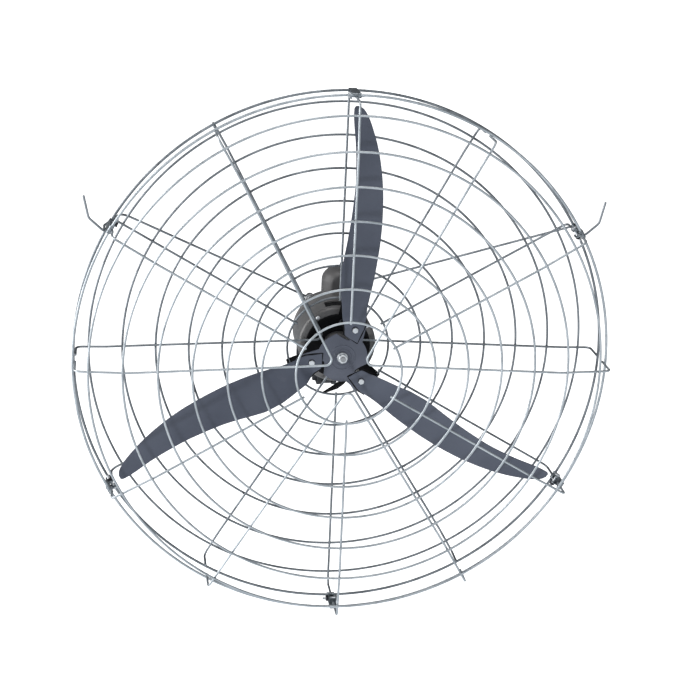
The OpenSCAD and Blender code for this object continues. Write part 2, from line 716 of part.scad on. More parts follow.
/* Rotor: shaft, rotor core, worm, hub and blades */
module motor_shaft() color([0.66, 0.68, 0.7]) {
    on_axis(gear_y - pocket_wall)
        cylinder(r = shaft_r, h = gear_y - pocket_wall - hub_y - hub_t, $fn = 96);
    on_axis(tower_y + worm_l / 2)
        cylinder(r = stud_r, h = tower_y + worm_l / 2 - hub_y + stud_l, $fn = 64);
}
motor_shaft();

module rotor_core() color([0.5, 0.5, 0.52]) on_axis(core_y + (rotor_l - core_l) / 2)
    tube(rotor_r, shaft_r + fit, rotor_l);
rotor_core();

// The worm's thread is shown as leaning discs on its core
module worm() color([0.66, 0.68, 0.7]) on_axis(tower_y + worm_l / 2) difference() {
    union() {
        cylinder(r = worm_core_r, h = worm_l, $fn = 64);
        for (k = [0 : worm_turns - 1]) translate([0, 0, (k + 1 / 2) * worm_l / worm_turns])
            rotate([worm_lean, 0, 0]) cylinder(r = worm_r, h = worm_thread_t, center = true, $fn = 64);
    }
    translate([0, 0, -eps]) cylinder(r = stud_r + fit, h = worm_l + 2 * eps, $fn = 64);
}
worm();

module hub_boss() color([0.62, 0.64, 0.66]) on_axis(hub_y + hub_t + boss_hub_l)
    tube(boss_hub_r, shaft_r + fit, boss_hub_l);
hub_boss();

module at_blade_screws() for (k = [0 : blade_count - 1]) rotate([0, 0, blade_turn + 120 * k])
    translate([blade_screw_u, blade_screw_share * blade_chord, 0]) children();
module hub_plate() color([0.8, 0.81, 0.83]) on_axis(hub_y + hub_t) difference() {
    union() {
        linear_extrude(hub_t) difference() {
            union() {
                circle(hub_r, $fn = 128);
                for (k = [0 : blade_count - 1]) rotate(blade_turn + 120 * k) polygon(hub_arm_shares * hub_r);
            }
            for (k = [0 : blade_count - 1]) rotate(blade_turn + 120 * k) polygon(hub_notch_shares * hub_r);
        }
        for (k = [0, 1]) translate([0, 0, hub_t - eps])
            tube(hub_ring_r + k * hub_ring_step + hub_ring_w, hub_ring_r + k * hub_ring_step, hub_ring_h + eps);
    }
    translate([0, 0, -eps]) cylinder(r = stud_r + fit, h = hub_t + 2 * eps, $fn = 64);
    at_blade_screws() translate([0, 0, -eps]) cylinder(r = m5_r + fit, h = hub_t + 2 * eps, $fn = 32);
}
hub_plate();

module hub_washer() color([0.75, 0.77, 0.79]) on_axis(hub_y) tube(washer_r, stud_r + fit, washer_t);
hub_washer();
module hub_nut() color([0.82, 0.84, 0.86]) on_axis(hub_y - washer_t)
    nut(hub_nut_flats, hub_nut_h, stud_r);
hub_nut();

// Blade: a thin cambered grid, flat where it sits on the hub plate. Row p of the plan, cell j of
// blade_cells across it, on the front (0) or the back (1); U runs along X, across runs along Z.
function blade_point(p, j, back) =
    let(share = j / blade_cells,
        across = blade_chord * (p[1] + share * (p[2] - p[1])),
        twist_y = -(across - twist_axis_share * blade_chord) * tan(blade_pitch * p[3]),
        camber_y = blade_camber * 4 * share * (1 - share) * p[3])
    [p[0] * sweep_r, hub_y - blade_t * (1 - back) + twist_y + camber_y, across];
module blade(k) color([0.34, 0.36, 0.42]) {
    rows = len(blade_plan_shares);
    loop = 2 * (blade_cells + 1);
    points = [for (p = blade_plan_shares) each concat(
        [for (j = [0 : blade_cells]) blade_point(p, j, 0)],
        [for (j = [blade_cells : -1 : 0]) blade_point(p, j, 1)])];
    skin = [for (i = [0 : rows - 2], j = [0 : loop - 1])
        [i * loop + j, i * loop + (j + 1) % loop, (i + 1) * loop + (j + 1) % loop, (i + 1) * loop + j]];
    ends = [[for (j = [loop - 1 : -1 : 0]) j], [for (j = [0 : loop - 1]) (rows - 1) * loop + j]];
    from_axis(blade_turn + 120 * (k - 1)) difference() {
        polyhedron(points, concat(skin, ends));
        translate([blade_screw_u, hub_y + eps, blade_screw_share * blade_chord]) rotate([90, 0, 0])
            cylinder(r = m5_r + fit, h = blade_t + 2 * eps, $fn = 32);
    }
}
module blade_1() blade(1);
module blade_2() blade(2);
module blade_3() blade(3);
blade_1();
blade_2();
blade_3();

module blade_screws() color([0.75, 0.77, 0.79]) on_axis(hub_y - blade_t)
    at_blade_screws() m5_screw(blade_t + hub_t + m5_nut_h);
blade_screws();
module blade_nuts() color([0.75, 0.77, 0.79]) on_axis(hub_y + hub_t + m5_nut_h)
    at_blade_screws() nut(m5_flats, m5_nut_h, m5_r);
blade_nuts();

/* Oscillation drive: wheel on its upright shaft, and the knob that engages it */
module worm_wheel() color([0.72, 0.6, 0.34]) translate([tower_x, tower_y, axis_z - worm_wheel_t / 2])
    difference() {
        tube(worm_wheel_r, gear_shaft_r + fit, worm_wheel_t);
        for (k = [0 : wheel_teeth - 1]) rotate([0, 0, 360 / wheel_teeth * k])
            translate([worm_wheel_r + tooth_r / 2, 0, -eps])
                cylinder(r = tooth_r, h = worm_wheel_t + 2 * eps, $fn = 16);
    }
worm_wheel();

module gear_shaft() color([0.66, 0.68, 0.7]) translate([tower_x, tower_y, axis_z - gear_shaft_drop])
    cylinder(r = gear_shaft_r, h = gear_shaft_drop + gear_shaft_rise, $fn = 64);
gear_shaft();

module oscillation_knob() color([0.08, 0.08, 0.085])
    translate([tower_x, tower_y, axis_z + tower_top + face_gap]) {
        domed(knob_r, knob_h, knob_round_r);
        translate([0, 0, -knob_stem_l]) cylinder(r = gear_shaft_r, h = knob_stem_l + eps, $fn = 64);
    }
oscillation_knob();
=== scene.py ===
"""Industrial wall fan: detailed surfaces, materials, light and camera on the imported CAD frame.

The piece functions measure in millimetres from the middle of the rear guard's face, on the fan
axis: x to the right, y back towards the wall, z up. in_frame() turns that into metres.
"""

from itertools import accumulate
from math import atan2, cos, degrees, hypot, pi, radians, sin, tan

import bmesh
import bpy
import numpy as np
from mathutils import Matrix, Vector


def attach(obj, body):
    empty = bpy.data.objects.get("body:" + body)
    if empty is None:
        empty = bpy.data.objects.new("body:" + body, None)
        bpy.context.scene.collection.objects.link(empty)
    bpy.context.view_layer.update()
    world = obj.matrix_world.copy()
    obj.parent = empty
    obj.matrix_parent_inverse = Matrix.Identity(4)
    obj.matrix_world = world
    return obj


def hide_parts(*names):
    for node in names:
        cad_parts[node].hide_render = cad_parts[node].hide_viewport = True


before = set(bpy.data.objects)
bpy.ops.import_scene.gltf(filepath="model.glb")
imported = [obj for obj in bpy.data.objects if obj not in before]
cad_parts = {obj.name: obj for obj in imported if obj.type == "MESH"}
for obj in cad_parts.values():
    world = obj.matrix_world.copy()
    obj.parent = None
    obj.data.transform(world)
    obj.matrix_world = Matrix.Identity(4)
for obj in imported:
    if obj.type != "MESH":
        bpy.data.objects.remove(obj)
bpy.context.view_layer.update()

# The middle of the rear guard's face in the frame, in metres
GUARD_MIDDLE = np.array([0, -0.305, 0.075])
MM_PER_M = 1000

RIGHT, AFT, UP = np.eye(3)
FORE = -AFT

# Guards: wire radii, ring radii, rim radius, radius of the spokes' side legs
RING_WIRE, RIM_WIRE, SPOKE_WIRE = 1.75, 2, 1.75
RINGS = [78 + 50 * k for k in range(7)]
GUARD_R, LEG_R = 400, 396.65
# Guards: y of the rims and of the front rings, distance from a ring's middle to a spoke's
REAR_RIM, FRONT_RIM, FRONT_FACE = -38, -80, -131
SEAT = 3.15

# Front of the hub plate, its thickness, and the angles of the three blades
HUB_Y, HUB_T = -56, 3
BLADE_ANGLES = (90, 210, 330)

# M5 screws: width over flats, pitch of the thread, bore of the nut
M5_FLATS, M5_PITCH, M5_BORE = 8, 0.8, 2.45
# Flats and height of a head and of a nut, radius and pitch of the thread
M5_HEAD, M5_NUT, M5_THREAD = (M5_FLATS, 3.2), (M5_FLATS, 4), (2.5, M5_PITCH)


def in_frame(p):
    """Millimetres about the rear guard's middle to metres in the frame."""
    return GUARD_MIDDLE + np.asarray(p, float) / MM_PER_M


def unit(v):
    """A vector, or rows of vectors, scaled to length one."""
    return v / np.linalg.norm(v, axis=-1, keepdims=True)


def across(axis):
    """Two unit directions square to a unit axis and to each other."""
    a = unit(np.cross(axis, UP if abs(axis[2]) < 0.9 else RIGHT))
    return a, np.cross(axis, a)


def angles(n):
    """n equal steps of angle once round a circle."""
    return np.arange(n) * 2 * pi / n


def circle(axis, n, turn=0):
    """n points on the unit circle square to axis: a cos t + b sin t for equal steps of t."""
    a, b = across(axis)
    t = angles(n)[:, None] + turn
    return np.cos(t) * a + np.sin(t) * b


def polar(a, u, s=0, y=0):
    """Points at radius u, s to the counter-clockwise side and y back, on the ray at a degrees."""
    c, n = cos(radians(a)), sin(radians(a))
    return np.stack(np.broadcast_arrays(u * c - s * n, y, u * n + s * c), -1)


def turned(a, outline):
    """x and z of an outline given by radius and side, on the ray at a degrees."""
    return polar(a, *np.array(outline).T)[:, [0, 2]]


def linked(name, data):
    """New object in the scene."""
    o = bpy.data.objects.new(name, data)
    bpy.context.scene.collection.objects.link(o)
    return o


def mesh_from(name, points, corners, counts):
    """Mesh from points, the corner indices of all faces in a row, and the corner count of each face."""
    me = bpy.data.meshes.new(name)
    me.vertices.add(len(points))
    me.vertices.foreach_set("co", points.astype(np.float32).ravel())
    me.loops.add(len(corners))
    me.loops.foreach_set("vertex_index", corners.astype(np.int32))
    me.polygons.add(len(counts))
    me.polygons.foreach_set("loop_start", (np.cumsum(counts) - counts).astype(np.int32))
    me.update(calc_edges=True)
    return me


def shape_from(me):
    """Shape with the points and faces of a mesh, which is then removed."""
    points = np.empty(len(me.vertices) * 3, np.float32)
    corners, counts = np.empty(len(me.loops), np.int32), np.empty(len(me.polygons), np.int32)
    me.vertices.foreach_get("co", points)
    me.loops.foreach_get("vertex_index", corners)
    me.polygons.foreach_get("loop_total", counts)
    bpy.data.meshes.remove(me)
    s = Shape()
    s.add(points.astype(float), corners, counts)
    return s


class Shape:
    """Blocks of points, of their faces' corners, and of each face's corner count and material."""

    def __init__(self):
        self.points, self.corners, self.counts, self.mats = [], [], [], []
        self.n = 0

    def add(self, points, corners, counts, mat=0):
        """Appends points and the faces over them, whose corners count from the first new point."""
        self.points.append(np.reshape(points, (-1, 3)))
        self.corners.append(np.ravel(corners) + self.n)
        self.counts.append(np.ravel(counts))
        self.mats.append(np.full(len(self.counts[-1]), mat))
        self.n += len(self.points[-1])

    def face(self, first, count, mat=0, back=False):
        """One flat face over count points in a row from index first; back turns it over."""
        corners = np.arange(first, first + count)
        self.corners.append(corners[::-1] if back else corners)
        self.counts.append(np.array([count]))
        self.mats.append(np.array([mat]))

    def arrays(self):
        """All points, all corners and all counts, each as one array."""
        return [np.concatenate(q) for q in (self.points, self.corners, self.counts)]

    def grid(self, pts, close_u=False, close_v=False, mat=0, flip=False):
        """Quads over a (rows, columns, 3) block, each from a point to its right, diagonal and lower
        neighbour; close_u joins the last row to the first, and close_v does so with columns."""
        nu, nv = pts.shape[:2]
        at = np.arange(nu * nv).reshape(nu, nv)
        low = np.roll(at, -1, 0)
        quads = np.stack([at, np.roll(at, -1, 1), np.roll(low, -1, 1), low], -1)
        quads = quads[:nu if close_u else nu - 1, :nv if close_v else nv - 1]
        if flip:
            quads = quads[..., [0, 3, 2, 1]]
        self.add(pts, quads, np.full(quads[..., 0].size, 4), mat)

    def tube(self, path, r, n=12, closed=False):
        """Round wire: n points at radius r about each point of the path, square to it. The first of
        them lies where the one before did, less its part along the path, so the wire isn't twisted.
        An open end gets a shallow dome, whose rings narrow as a circle does, and a flat face."""
        along = unit(np.roll(path, -1, 0) - np.roll(path, 1, 0) if closed else np.gradient(path, axis=0))
        carried = accumulate(along, lambda a, t: unit(a - t * (a @ t)), initial=across(along[0])[0])
        a = np.array(list(carried))[1:, None]
        b = np.cross(along, a[:, 0])[:, None]
        t = angles(n)[:, None]
        out = r * (np.cos(t) * a + np.sin(t) * b)
        self.grid(path[:, None] + out, close_u=closed, close_v=True)
        if closed:
            return
        q = np.array([0, 0.35, 0.7, 0.95])[:, None, None]
        for end, way in ((0, -1), (-1, 1)):
            dome = path[end] + out[end] * np.sqrt(1 - q * q) + along[end] * way * r * q * 0.6
            self.grid(dome, close_v=True, flip=way < 0)
            self.face(self.n - n, n, back=way < 0)

    def lathe(self, profile, centre, axis, n=96, mat=0):
        """Turns (radius, height) pairs: centre plus radius times a circle plus height times axis."""
        axis = unit(axis)
        r, h = np.array(profile, float).T[..., None, None]
        self.grid(centre + r * circle(axis, n) + h * axis, close_v=True, mat=mat)

    def hexa(self, flats, h, centre, axis, turn=0, bore=0):
        """Hexagonal head or nut: six-sided radius, and near both ends the smaller of that and a
        circle's, as a turned chamfer leaves it; it closes on the bore."""
        n = 48
        six = (flats / 2) / np.cos(angles(n) % (pi / 3) - pi / 6)
        near, top = np.minimum(six, flats * 0.53), flats * 0.46
        r = np.stack(np.broadcast_arrays(bore, top, near, six, six, near, top, max(bore, 0.01)))
        up = h * np.array([0, 0, 0.04, 0.16, 0.74, 0.9, 1, 1])[:, None, None]
        axis = unit(axis)
        self.grid(centre + r[..., None] * circle(axis, n, turn) + up * axis, close_v=True)

    def thread(self, r, pitch, length, centre, axis, n=20):
        """Ridged tube: radius r less a wave of 0.25 mm with one ridge a pitch, and a chamfered end."""
        q = np.arange(int(length / pitch * 4) + 1) / 4
        ridges = np.column_stack([r - 0.25 * np.abs((q + 0.5) % 1 * 2 - 1), np.minimum(length, q * pitch)])
        end = length + 0.3
        self.lathe(np.vstack([[(0.01, 0)], ridges, [(r * 0.7, end), (0.01, end)]]), centre, axis, n)

    def build(self, name, mats, body, node, slot, sharp=32, bevel=None):
        """Smooth object on its body in place of a node; edges over sharp degrees stay sharp."""
        points, corners, counts = self.arrays()
        me = mesh_from(name, in_frame(points), corners, counts)
        for m in mats:
            me.materials.append(m)
        me.polygons.foreach_set("material_index", np.concatenate(self.mats).astype(np.int32))
        me.polygons.foreach_set("use_smooth", np.ones(len(counts), bool))
        me.validate()
        me.set_sharp_from_angle(angle=radians(sharp))
        o = linked(name, me)
        if bevel:
            mod = o.modifiers.new("edge", "BEVEL")
            mod.width, mod.segments, mod.limit_method = bevel / MM_PER_M, 3, "ANGLE"
            mod.angle_limit = radians(35)
        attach(o, body)
        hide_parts(node)


def fillet(points, radii, n=8):
    """Polyline with each inner corner replaced by an arc of n steps tangent to both runs."""
    p = np.asarray(points, float)
    share = np.arange(n + 1)[:, None] / n
    out = [p[:1]]
    for i, radius in zip(range(1, len(p) - 1), radii):
        u, v = p[i - 1] - p[i], p[i + 1] - p[i]
        room = 0.48 * min(np.linalg.norm(u), np.linalg.norm(v))
        u, v = unit(u), unit(v)
        half = np.arccos(np.clip(u @ v, -1, 1)) / 2
        d = min(radius / tan(half), room)
        r = d * tan(half)
        c = p[i] + unit(u + v) * (r / sin(half))
        a, b = p[i] + u * d - c, p[i] + v * d - c
        w = np.arccos(np.clip(a @ b / (r * r), -1, 1))
        out.append(c + (a * np.sin((1 - share) * w) + b * np.sin(share * w)) / sin(w))
    return np.vstack([*out, p[-1:]])


def densify(path, step):
    """Splits each run into equal parts: as many as whole steps fit in it, and at least one."""
    run = np.diff(path, axis=0)
    parts = np.maximum(1, (np.linalg.norm(run, axis=1) / step).astype(int))
    count = np.arange(parts.sum()) - np.repeat(np.cumsum(parts) - parts, parts) + 1
    share = (count / np.repeat(parts, parts))[:, None]
    return np.vstack([path[:1], np.repeat(path[:-1], parts, 0) + np.repeat(run, parts, 0) * share])


# Sheet and cast shapes
def rounded(points, radii, n=8):
    """Closed outline in the plane with its corners rounded, from the middle of its last side."""
    p = np.column_stack([points, np.zeros(len(points))])
    mid = (p[:1] + p[-1:]) / 2
    return fillet(np.vstack([mid, p, mid]), np.broadcast_to(radii, len(p)), n)[:-1, :2]


def inward(o):
    """Unit directions into a closed outline, square to the line between each point's neighbours."""
    t = np.roll(o, -1, 0) - np.roll(o, 1, 0)
    t /= np.maximum(np.linalg.norm(t, axis=1), 1e-9)[:, None]
    x, y = o.T
    twice_area = np.sum(x * np.roll(y, -1) - np.roll(x, -1) * y)
    return np.column_stack([-t[:, 1], t[:, 0]]) * (1 if twice_area > 0 else -1)


def slab(s, outline, origin, t, edge=0.4, u=RIGHT, v=UP, mat=0):
    """Plate of thickness t that rises along u x v from an outline in the u, v plane: six copies of
    the outline, the outer two at each side moved inwards so that the rims are rounded, and two faces."""
    o = np.asarray(outline, float)
    share = np.array([1, 0.3, 0, 0, 0.3, 1])[:, None, None]
    h = np.array([0, edge * 0.3, edge, t - edge, t - edge * 0.3, t])[:, None, None]
    q = o + inward(o) * edge * share
    s.grid(origin + q[..., :1] * u + q[..., 1:] * v + h * np.cross(u, v), close_v=True, mat=mat)
    n = len(o)
    s.face(s.n - 6 * n, n, mat, back=True)
    s.face(s.n - n, n, mat)
    return s


def working(shape):
    """Object of a shape for cut() and cast(), with outward faces and doubled points joined."""
    me = mesh_from("work", *shape.arrays())
    bm = bmesh.new()
    bm.from_mesh(me)
    bmesh.ops.remove_doubles(bm, verts=bm.verts, dist=1e-4)
    bmesh.ops.recalc_face_normals(bm, faces=bm.faces)
    bm.to_mesh(me)
    bm.free()
    return linked("work", me)


def baked(o):
    """Shape of an object with its modifiers applied; the object is removed."""
    me = bpy.data.meshes.new_from_object(o.evaluated_get(bpy.context.evaluated_depsgraph_get()))
    bpy.data.objects.remove(o)
    return shape_from(me)


def cut(shape, cutters):
    """Shape less the cutters, exactly."""
    o, *tools = [working(s) for s in (shape, *cutters)]
    for c in tools:
        m = o.modifiers.new("cut", "BOOLEAN")
        m.operation, m.solver, m.object = "DIFFERENCE", "EXACT", c
    out = baked(o)
    for c in tools:
        bpy.data.objects.remove(c)
    return out


def cast(shape, voxel, smooth):
    """Casting: closed lumps fused, then relaxed so that every inner and outer corner is rounded."""
    o = working(shape)
    m = o.modifiers.new("fuse", "REMESH")
    m.mode, m.voxel_size = "VOXEL", voxel
    m = o.modifiers.new("relax", "SMOOTH")
    m.factor, m.iterations = 0.5, smooth
    return baked(o)


def rod(s, a, b, r, n=48, edge=0.001):
    """Closed round bar from a to b with a chamfer of edge."""
    a, b = np.asarray(a, float), np.asarray(b, float)
    h = np.linalg.norm(b - a)
    s.lathe([(0.01, 0), (r - edge, 0), (r, edge), (r, h - edge), (r - edge, h), (0.01, h)], a, b - a, n)
    return s


# Corners of a box as shares, 0 or 1, of its three sides, and the corners of its faces
BOX = np.indices((2, 2, 2)).reshape(3, -1).T
BOX_FACES = [(0, 1, 3, 2), (4, 6, 7, 5), (0, 4, 5, 1), (2, 3, 7, 6), (0, 2, 6, 4), (1, 5, 7, 3)]


def block(s, lo, hi):
    """Closed box between two corners: each of its points takes lo or hi in x, y and z."""
    s.add(np.where(BOX, hi, lo), BOX_FACES, [4] * 6)
    return s


def hull(points):
    """Convex hull of points as a Shape."""
    me = bpy.data.meshes.new("work")
    me.from_pydata(points, [], [])
    bm = bmesh.new()
    bm.from_mesh(me)
    bmesh.ops.convex_hull(bm, input=bm.verts)
    bmesh.ops.delete(bm, geom=[q for q in bm.verts if not q.link_faces], context="VERTS")
    bm.to_mesh(me)
    bm.free()
    return shape_from(me)


# Materials: the finishes share four node groups, each with its own values in every material
def set_inputs(t, node, values):
    """Links a socket, or sets a number or colour, at each input that values names; gives the node."""
    for label, v in values.items():
        if isinstance(v, bpy.types.NodeSocket):
            t.links.new(v, node.inputs[label])
        else:
            node.inputs[label].default_value = v
    return node


def node_group(name, inputs, output, sort, fill):
    """Shader node group with named inputs and one output, fed by the socket that fill gives."""
    g = bpy.data.node_groups.new(name, "ShaderNodeTree")
    for label, kind in inputs.items():
        g.interface.new_socket(name=label, in_out="INPUT", socket_type="NodeSocket" + kind)
    g.interface.new_socket(name=output, in_out="OUTPUT", socket_type="NodeSocket" + sort)
    given = g.nodes.new("NodeGroupInput").outputs
    g.links.new(fill(g, given), g.nodes.new("NodeGroupOutput").inputs[0])
    return g


def noise(g, given, detail, rough=0.55):
    """Noise from 0 to 1 at the group's Vector and Scale."""
    values = {"Vector": given["Vector"], "Scale": given["Scale"], "Detail": detail, "Roughness": rough}
    return set_inputs(g, g.nodes.new("ShaderNodeTexNoise"), values).outputs["Fac"]


def spread(g, value, lo, hi, to_lo=0, to_hi=1):
    """Map Range from lo..hi to to_lo..to_hi; each of the four may be a number or a socket."""
    values = {"Value": value, "From Min": lo, "From Max": hi, "To Min": to_lo, "To Max": to_hi}
    return set_inputs(g, g.nodes.new("ShaderNodeMapRange"), values).outputs[0]


def blend(g, share, first, second):
    """Colour between first and second by share; in a colour Mix node these are inputs 0, 6 and 7."""
    n = g.nodes.new("ShaderNodeMix")
    n.data_type = "RGBA"
    return set_inputs(g, n, {0: share, 6: first, 7: second}).outputs[2]


def cloud_colour(g, given):
    """Colour that drifts between Dark and Light."""
    return blend(g, spread(g, noise(g, given, 3), 0.3, 0.7), given["Dark"], given["Light"])


def patch_colour(g, given):
    """Base with patches of Over, such as dust or tarnish, where noise passes From, in full 0.2 above."""
    top = g.nodes.new("ShaderNodeMath")
    top.operation = "ADD"
    set_inputs(g, top, {0: given["From"], 1: 0.2})
    share = spread(g, noise(g, given, 6, 0.65), given["From"], top.outputs[0], 0, given["Amount"])
    return blend(g, share, given["Base"], given["Over"])


def gloss_drift(g, given):
    """Roughness that drifts between Low and High."""
    return spread(g, noise(g, given, 4), 0.3, 0.7, given["Low"], given["High"])


def grain_height(g, given):
    """Height of the fine surface grain."""
    return noise(g, given, 4)


FIELD = {"Vector": "Vector", "Scale": "Float"}
OVER_BASE = {"From": "Float", "Amount": "Float", "Base": "Color", "Over": "Color"}
CLOUDS = node_group("clouds", FIELD | {"Dark": "Color", "Light": "Color"}, "Color", "Color", cloud_colour)
PATCHES = node_group("patches", FIELD | OVER_BASE, "Color", "Color", patch_colour)
GLOSS = node_group("gloss", FIELD | {"Low": "Float", "High": "Float"}, "Roughness", "Float", gloss_drift)
GRAIN = node_group("grain", FIELD, "Height", "Float", grain_height)

# How much finer the patches and the gloss are than the clouds, and the gloss's reach about its value
PATCH_FINER, GLOSS_FINER, GLOSS_LOW, GLOSS_HIGH = 3.1, 2.3, 0.85, 1.2
COAT_ROUGHNESS, BUMP_STRENGTH = 0.25, 0.6


def place(t, group, scale, **values):
    """Output of one of the groups, put into a material's tree with its inputs set."""
    n = t.nodes.new("ShaderNodeGroup")
    n.node_tree = group
    vector = t.nodes.new("ShaderNodeTexCoord").outputs["Object"]
    return set_inputs(t, n, {"Vector": vector, "Scale": scale, **values}).outputs[0]


def finish(name, dark, light, cloud, rough, grain, height, metallic=0, coat=0, shine=0.5,
           over=None, start=0.55, amount=0.6):
    """A finish: clouds of two tones, patches over them, drifting gloss and a fine grain in the bump."""
    m = bpy.data.materials.new(name)
    m.use_nodes = True
    t = m.node_tree
    t.nodes.clear()
    colour = place(t, CLOUDS, cloud, Dark=(*dark, 1), Light=(*light, 1))
    if over:
        colour = place(t, PATCHES, cloud * PATCH_FINER, From=start, Amount=amount, Base=colour,
                       Over=(*over, 1))
    gloss = place(t, GLOSS, cloud * GLOSS_FINER, Low=rough * GLOSS_LOW, High=rough * GLOSS_HIGH)
    values = {"Strength": BUMP_STRENGTH, "Distance": height, "Height": place(t, GRAIN, grain)}
    bump = set_inputs(t, t.nodes.new("ShaderNodeBump"), values)
    values = {"Base Color": colour, "Roughness": gloss, "Metallic": metallic, "Specular IOR Level": shine,
              "Coat Weight": coat, "Coat Roughness": COAT_ROUGHNESS, "Normal": bump.outputs[0]}
    sh = set_inputs(t, t.nodes.new("ShaderNodeBsdfPrincipled"), values)
    t.links.new(sh.outputs[0], t.nodes.new("ShaderNodeOutputMaterial").inputs[0])
    return m


# Each finish: name, two tones, scale of clouds, roughness, scale and height of grain, 1 for metal
WIRE_FRONT = finish("wire_front", (0.52, 0.56, 0.59), (0.8, 0.84, 0.87), 26, 0.42, 360, 2e-5, 1,
                    over=(0.24, 0.25, 0.26), amount=0.5)
# The rear guard's wire is the same zinc wire as the front's, made darker as painted shade
WIRE_REAR_SHADED = finish("wire_rear_painted_shade", (0.22, 0.24, 0.26), (0.44, 0.47, 0.5), 26, 0.42, 360, 2e-5, 1,
                   over=(0.1, 0.1, 0.1), start=0.5)
WELD = finish("weld_spot", (0.14, 0.15, 0.16), (0.36, 0.38, 0.4), 90, 0.42, 900, 2e-5, 1,
              over=(0.1, 0.08, 0.06))
ZINC = finish("zinc_bright", (0.8, 0.82, 0.84), (0.95, 0.96, 0.97), 60, 0.34, 800, 2e-5, 1)
CLIP = finish("clip_zinc", (0.22, 0.24, 0.26), (0.48, 0.52, 0.55), 70, 0.32, 800, 2e-5, 1,
              over=(0.05, 0.05, 0.06))
DARKZINC = finish("screw_dark", (0.03, 0.03, 0.034), (0.09, 0.09, 0.1), 80, 0.38, 900, 2e-5, 1)
STEEL = finish("machined_steel", (0.42, 0.42, 0.43), (0.62, 0.62, 0.63), 50, 0.3, 700, 2e-5, 1)
STAY = finish("stay_wire", (0.26, 0.28, 0.3), (0.48, 0.51, 0.54), 34, 0.42, 450, 2e-5, 1,
              over=(0.1, 0.1, 0.1))
BLADE = finish("blade_paint", (0.054, 0.062, 0.088), (0.076, 0.086, 0.116), 9, 0.36, 420, 1.5e-5, coat=0.25,
               over=(0.14, 0.15, 0.17), start=0.62, amount=0.35)
HUBP = finish("hub_paint", (0.07, 0.078, 0.104), (0.096, 0.104, 0.134), 14, 0.42, 380, 2e-5, coat=0.15,
              over=(0.15, 0.15, 0.17), start=0.6, amount=0.4)
MOTOR = finish("motor_paint", (0.108, 0.104, 0.104), (0.16, 0.153, 0.151), 14, 0.3, 300, 4e-5, coat=0.5,
               over=(0.15, 0.14, 0.13), start=0.6, amount=0.45)
CAST = finish("cast_paint", (0.088, 0.085, 0.085), (0.136, 0.131, 0.13), 14, 0.42, 160, 1.6e-4, coat=0.2,
              over=(0.16, 0.15, 0.14), start=0.6, amount=0.45)
# Black enamel of the carrier, made darker still as painted shade; also the painted shadow lines of the pads
# at the blades' roots
BLACK_AND_SHADE = finish("black_enamel_and_painted_shade", (0.003, 0.003, 0.0035), (0.007, 0.007, 0.008), 14, 0.45, 260, 4e-5, shine=0.15)
BRACKET = finish("bracket_coat", (0.02, 0.022, 0.025), (0.036, 0.038, 0.042), 14, 0.5, 210, 1.4e-4,
                 shine=0.3, over=(0.08, 0.08, 0.08), start=0.58, amount=0.4)
PLASTIC = finish("black_plastic", (0.01, 0.01, 0.012), (0.018, 0.018, 0.02), 14, 0.5, 500, 3e-5, shine=0.3)
COPPER = finish("coil_copper", (0.1, 0.036, 0.016), (0.2, 0.08, 0.032), 120, 0.5, 900, 2e-5, 1)
BRASS = finish("gear_brass", (0.42, 0.3, 0.12), (0.62, 0.47, 0.2), 60, 0.3, 800, 2e-5, 1)
# Core laminations near black: painted shade in the motor shell's windows
CORE_SHADED = finish("lamination", (0.005, 0.005, 0.006), (0.014, 0.014, 0.015), 90, 0.6, 900, 2e-5, shine=0.2)


# Guards: start of a single spoke, where a hairpin's legs meet, how far legs pass the rim, bend radii
SPOKE_START, HAIRPIN_APEX, LEG_OVER, BEND_R, KNEE_R = 74.5, 24, 5, 9, 60
WIRE_STEP = 14
# How far the front guard's outermost ring and its spokes' bends are set back
RING_BACK, SPOKE_BACK = 5.4, 8
# Radius of the knees in single spokes and in hairpins
REAR_KNEES, FRONT_KNEES = (None, 353), (320, 320)


def wobble(a, seed, amount):
    """Hand-bent wander at angles a: sines of 2 to 7 waves round, at random phases and heights."""
    rng = np.random.default_rng(seed)
    out = np.zeros_like(a)
    for k in (2, 3, 4, 5, 7):
        out += rng.normal() / k * np.sin(k * a + rng.uniform(0, 2 * pi))
    return out * amount


def add_ring(s, r, y, wire, seed, amount, n=240):
    """Closed wire ring: radius and y each wander about r and y, and y half as much."""
    a = angles(n)
    rr = r + wobble(a, seed, amount)
    yy = y + wobble(a, seed + 50, amount * 0.5)
    s.tube(np.column_stack([rr * np.cos(a), yy, rr * np.sin(a)]), wire, closed=True)


def weld(s, p, along, aside, size=1.9):
    """Flattened nugget where two wires are welded: a ball stretched along one of them."""
    th = np.linspace(0, pi, 7)[:, None, None]
    ph = angles(10)[:, None]
    ball = (np.cos(th) * along * 1.25 + np.sin(th) * np.cos(ph) * aside * 0.9
            + np.sin(th) * np.sin(ph) * np.cross(along, aside) * 0.8)
    s.grid(p + size * ball, close_v=True, mat=1)


def leg(a, side, face, rim, knee, back):
    """Corners of a spoke at angle a, from inside: any knee, the bend and the end past the rim."""
    pts = [(knee, face)] if knee else []
    pts += [(LEG_R, face + side * back), (LEG_R, rim + side * LEG_OVER)]
    return [polar(a, u, 0, y) for u, y in pts]


def single_path(a, side, face, rim, knee, back):
    """Spoke at angle a: along the face, slanting back beyond any knee, and round the bend."""
    pts = [polar(a, SPOKE_START, 0, face), *leg(a, side, face, rim, knee, back)]
    return densify(fillet(pts, [KNEE_R, BEND_R] if knee else [BEND_R]), WIRE_STEP)


def hairpin_path(a, side, face, rim, knee, back):
    """One wire bent into two spokes at 30 degrees each side of a, turning back near the axis."""
    legs = [leg(q, side, face, rim, knee, back) for q in (a - 30, a + 30)]
    pts = [*legs[0][::-1], polar(a, HAIRPIN_APEX, 0, face), *legs[1]]
    return densify(fillet(pts, [BEND_R, KNEE_R, BEND_R, KNEE_R, BEND_R], 9), WIRE_STEP)


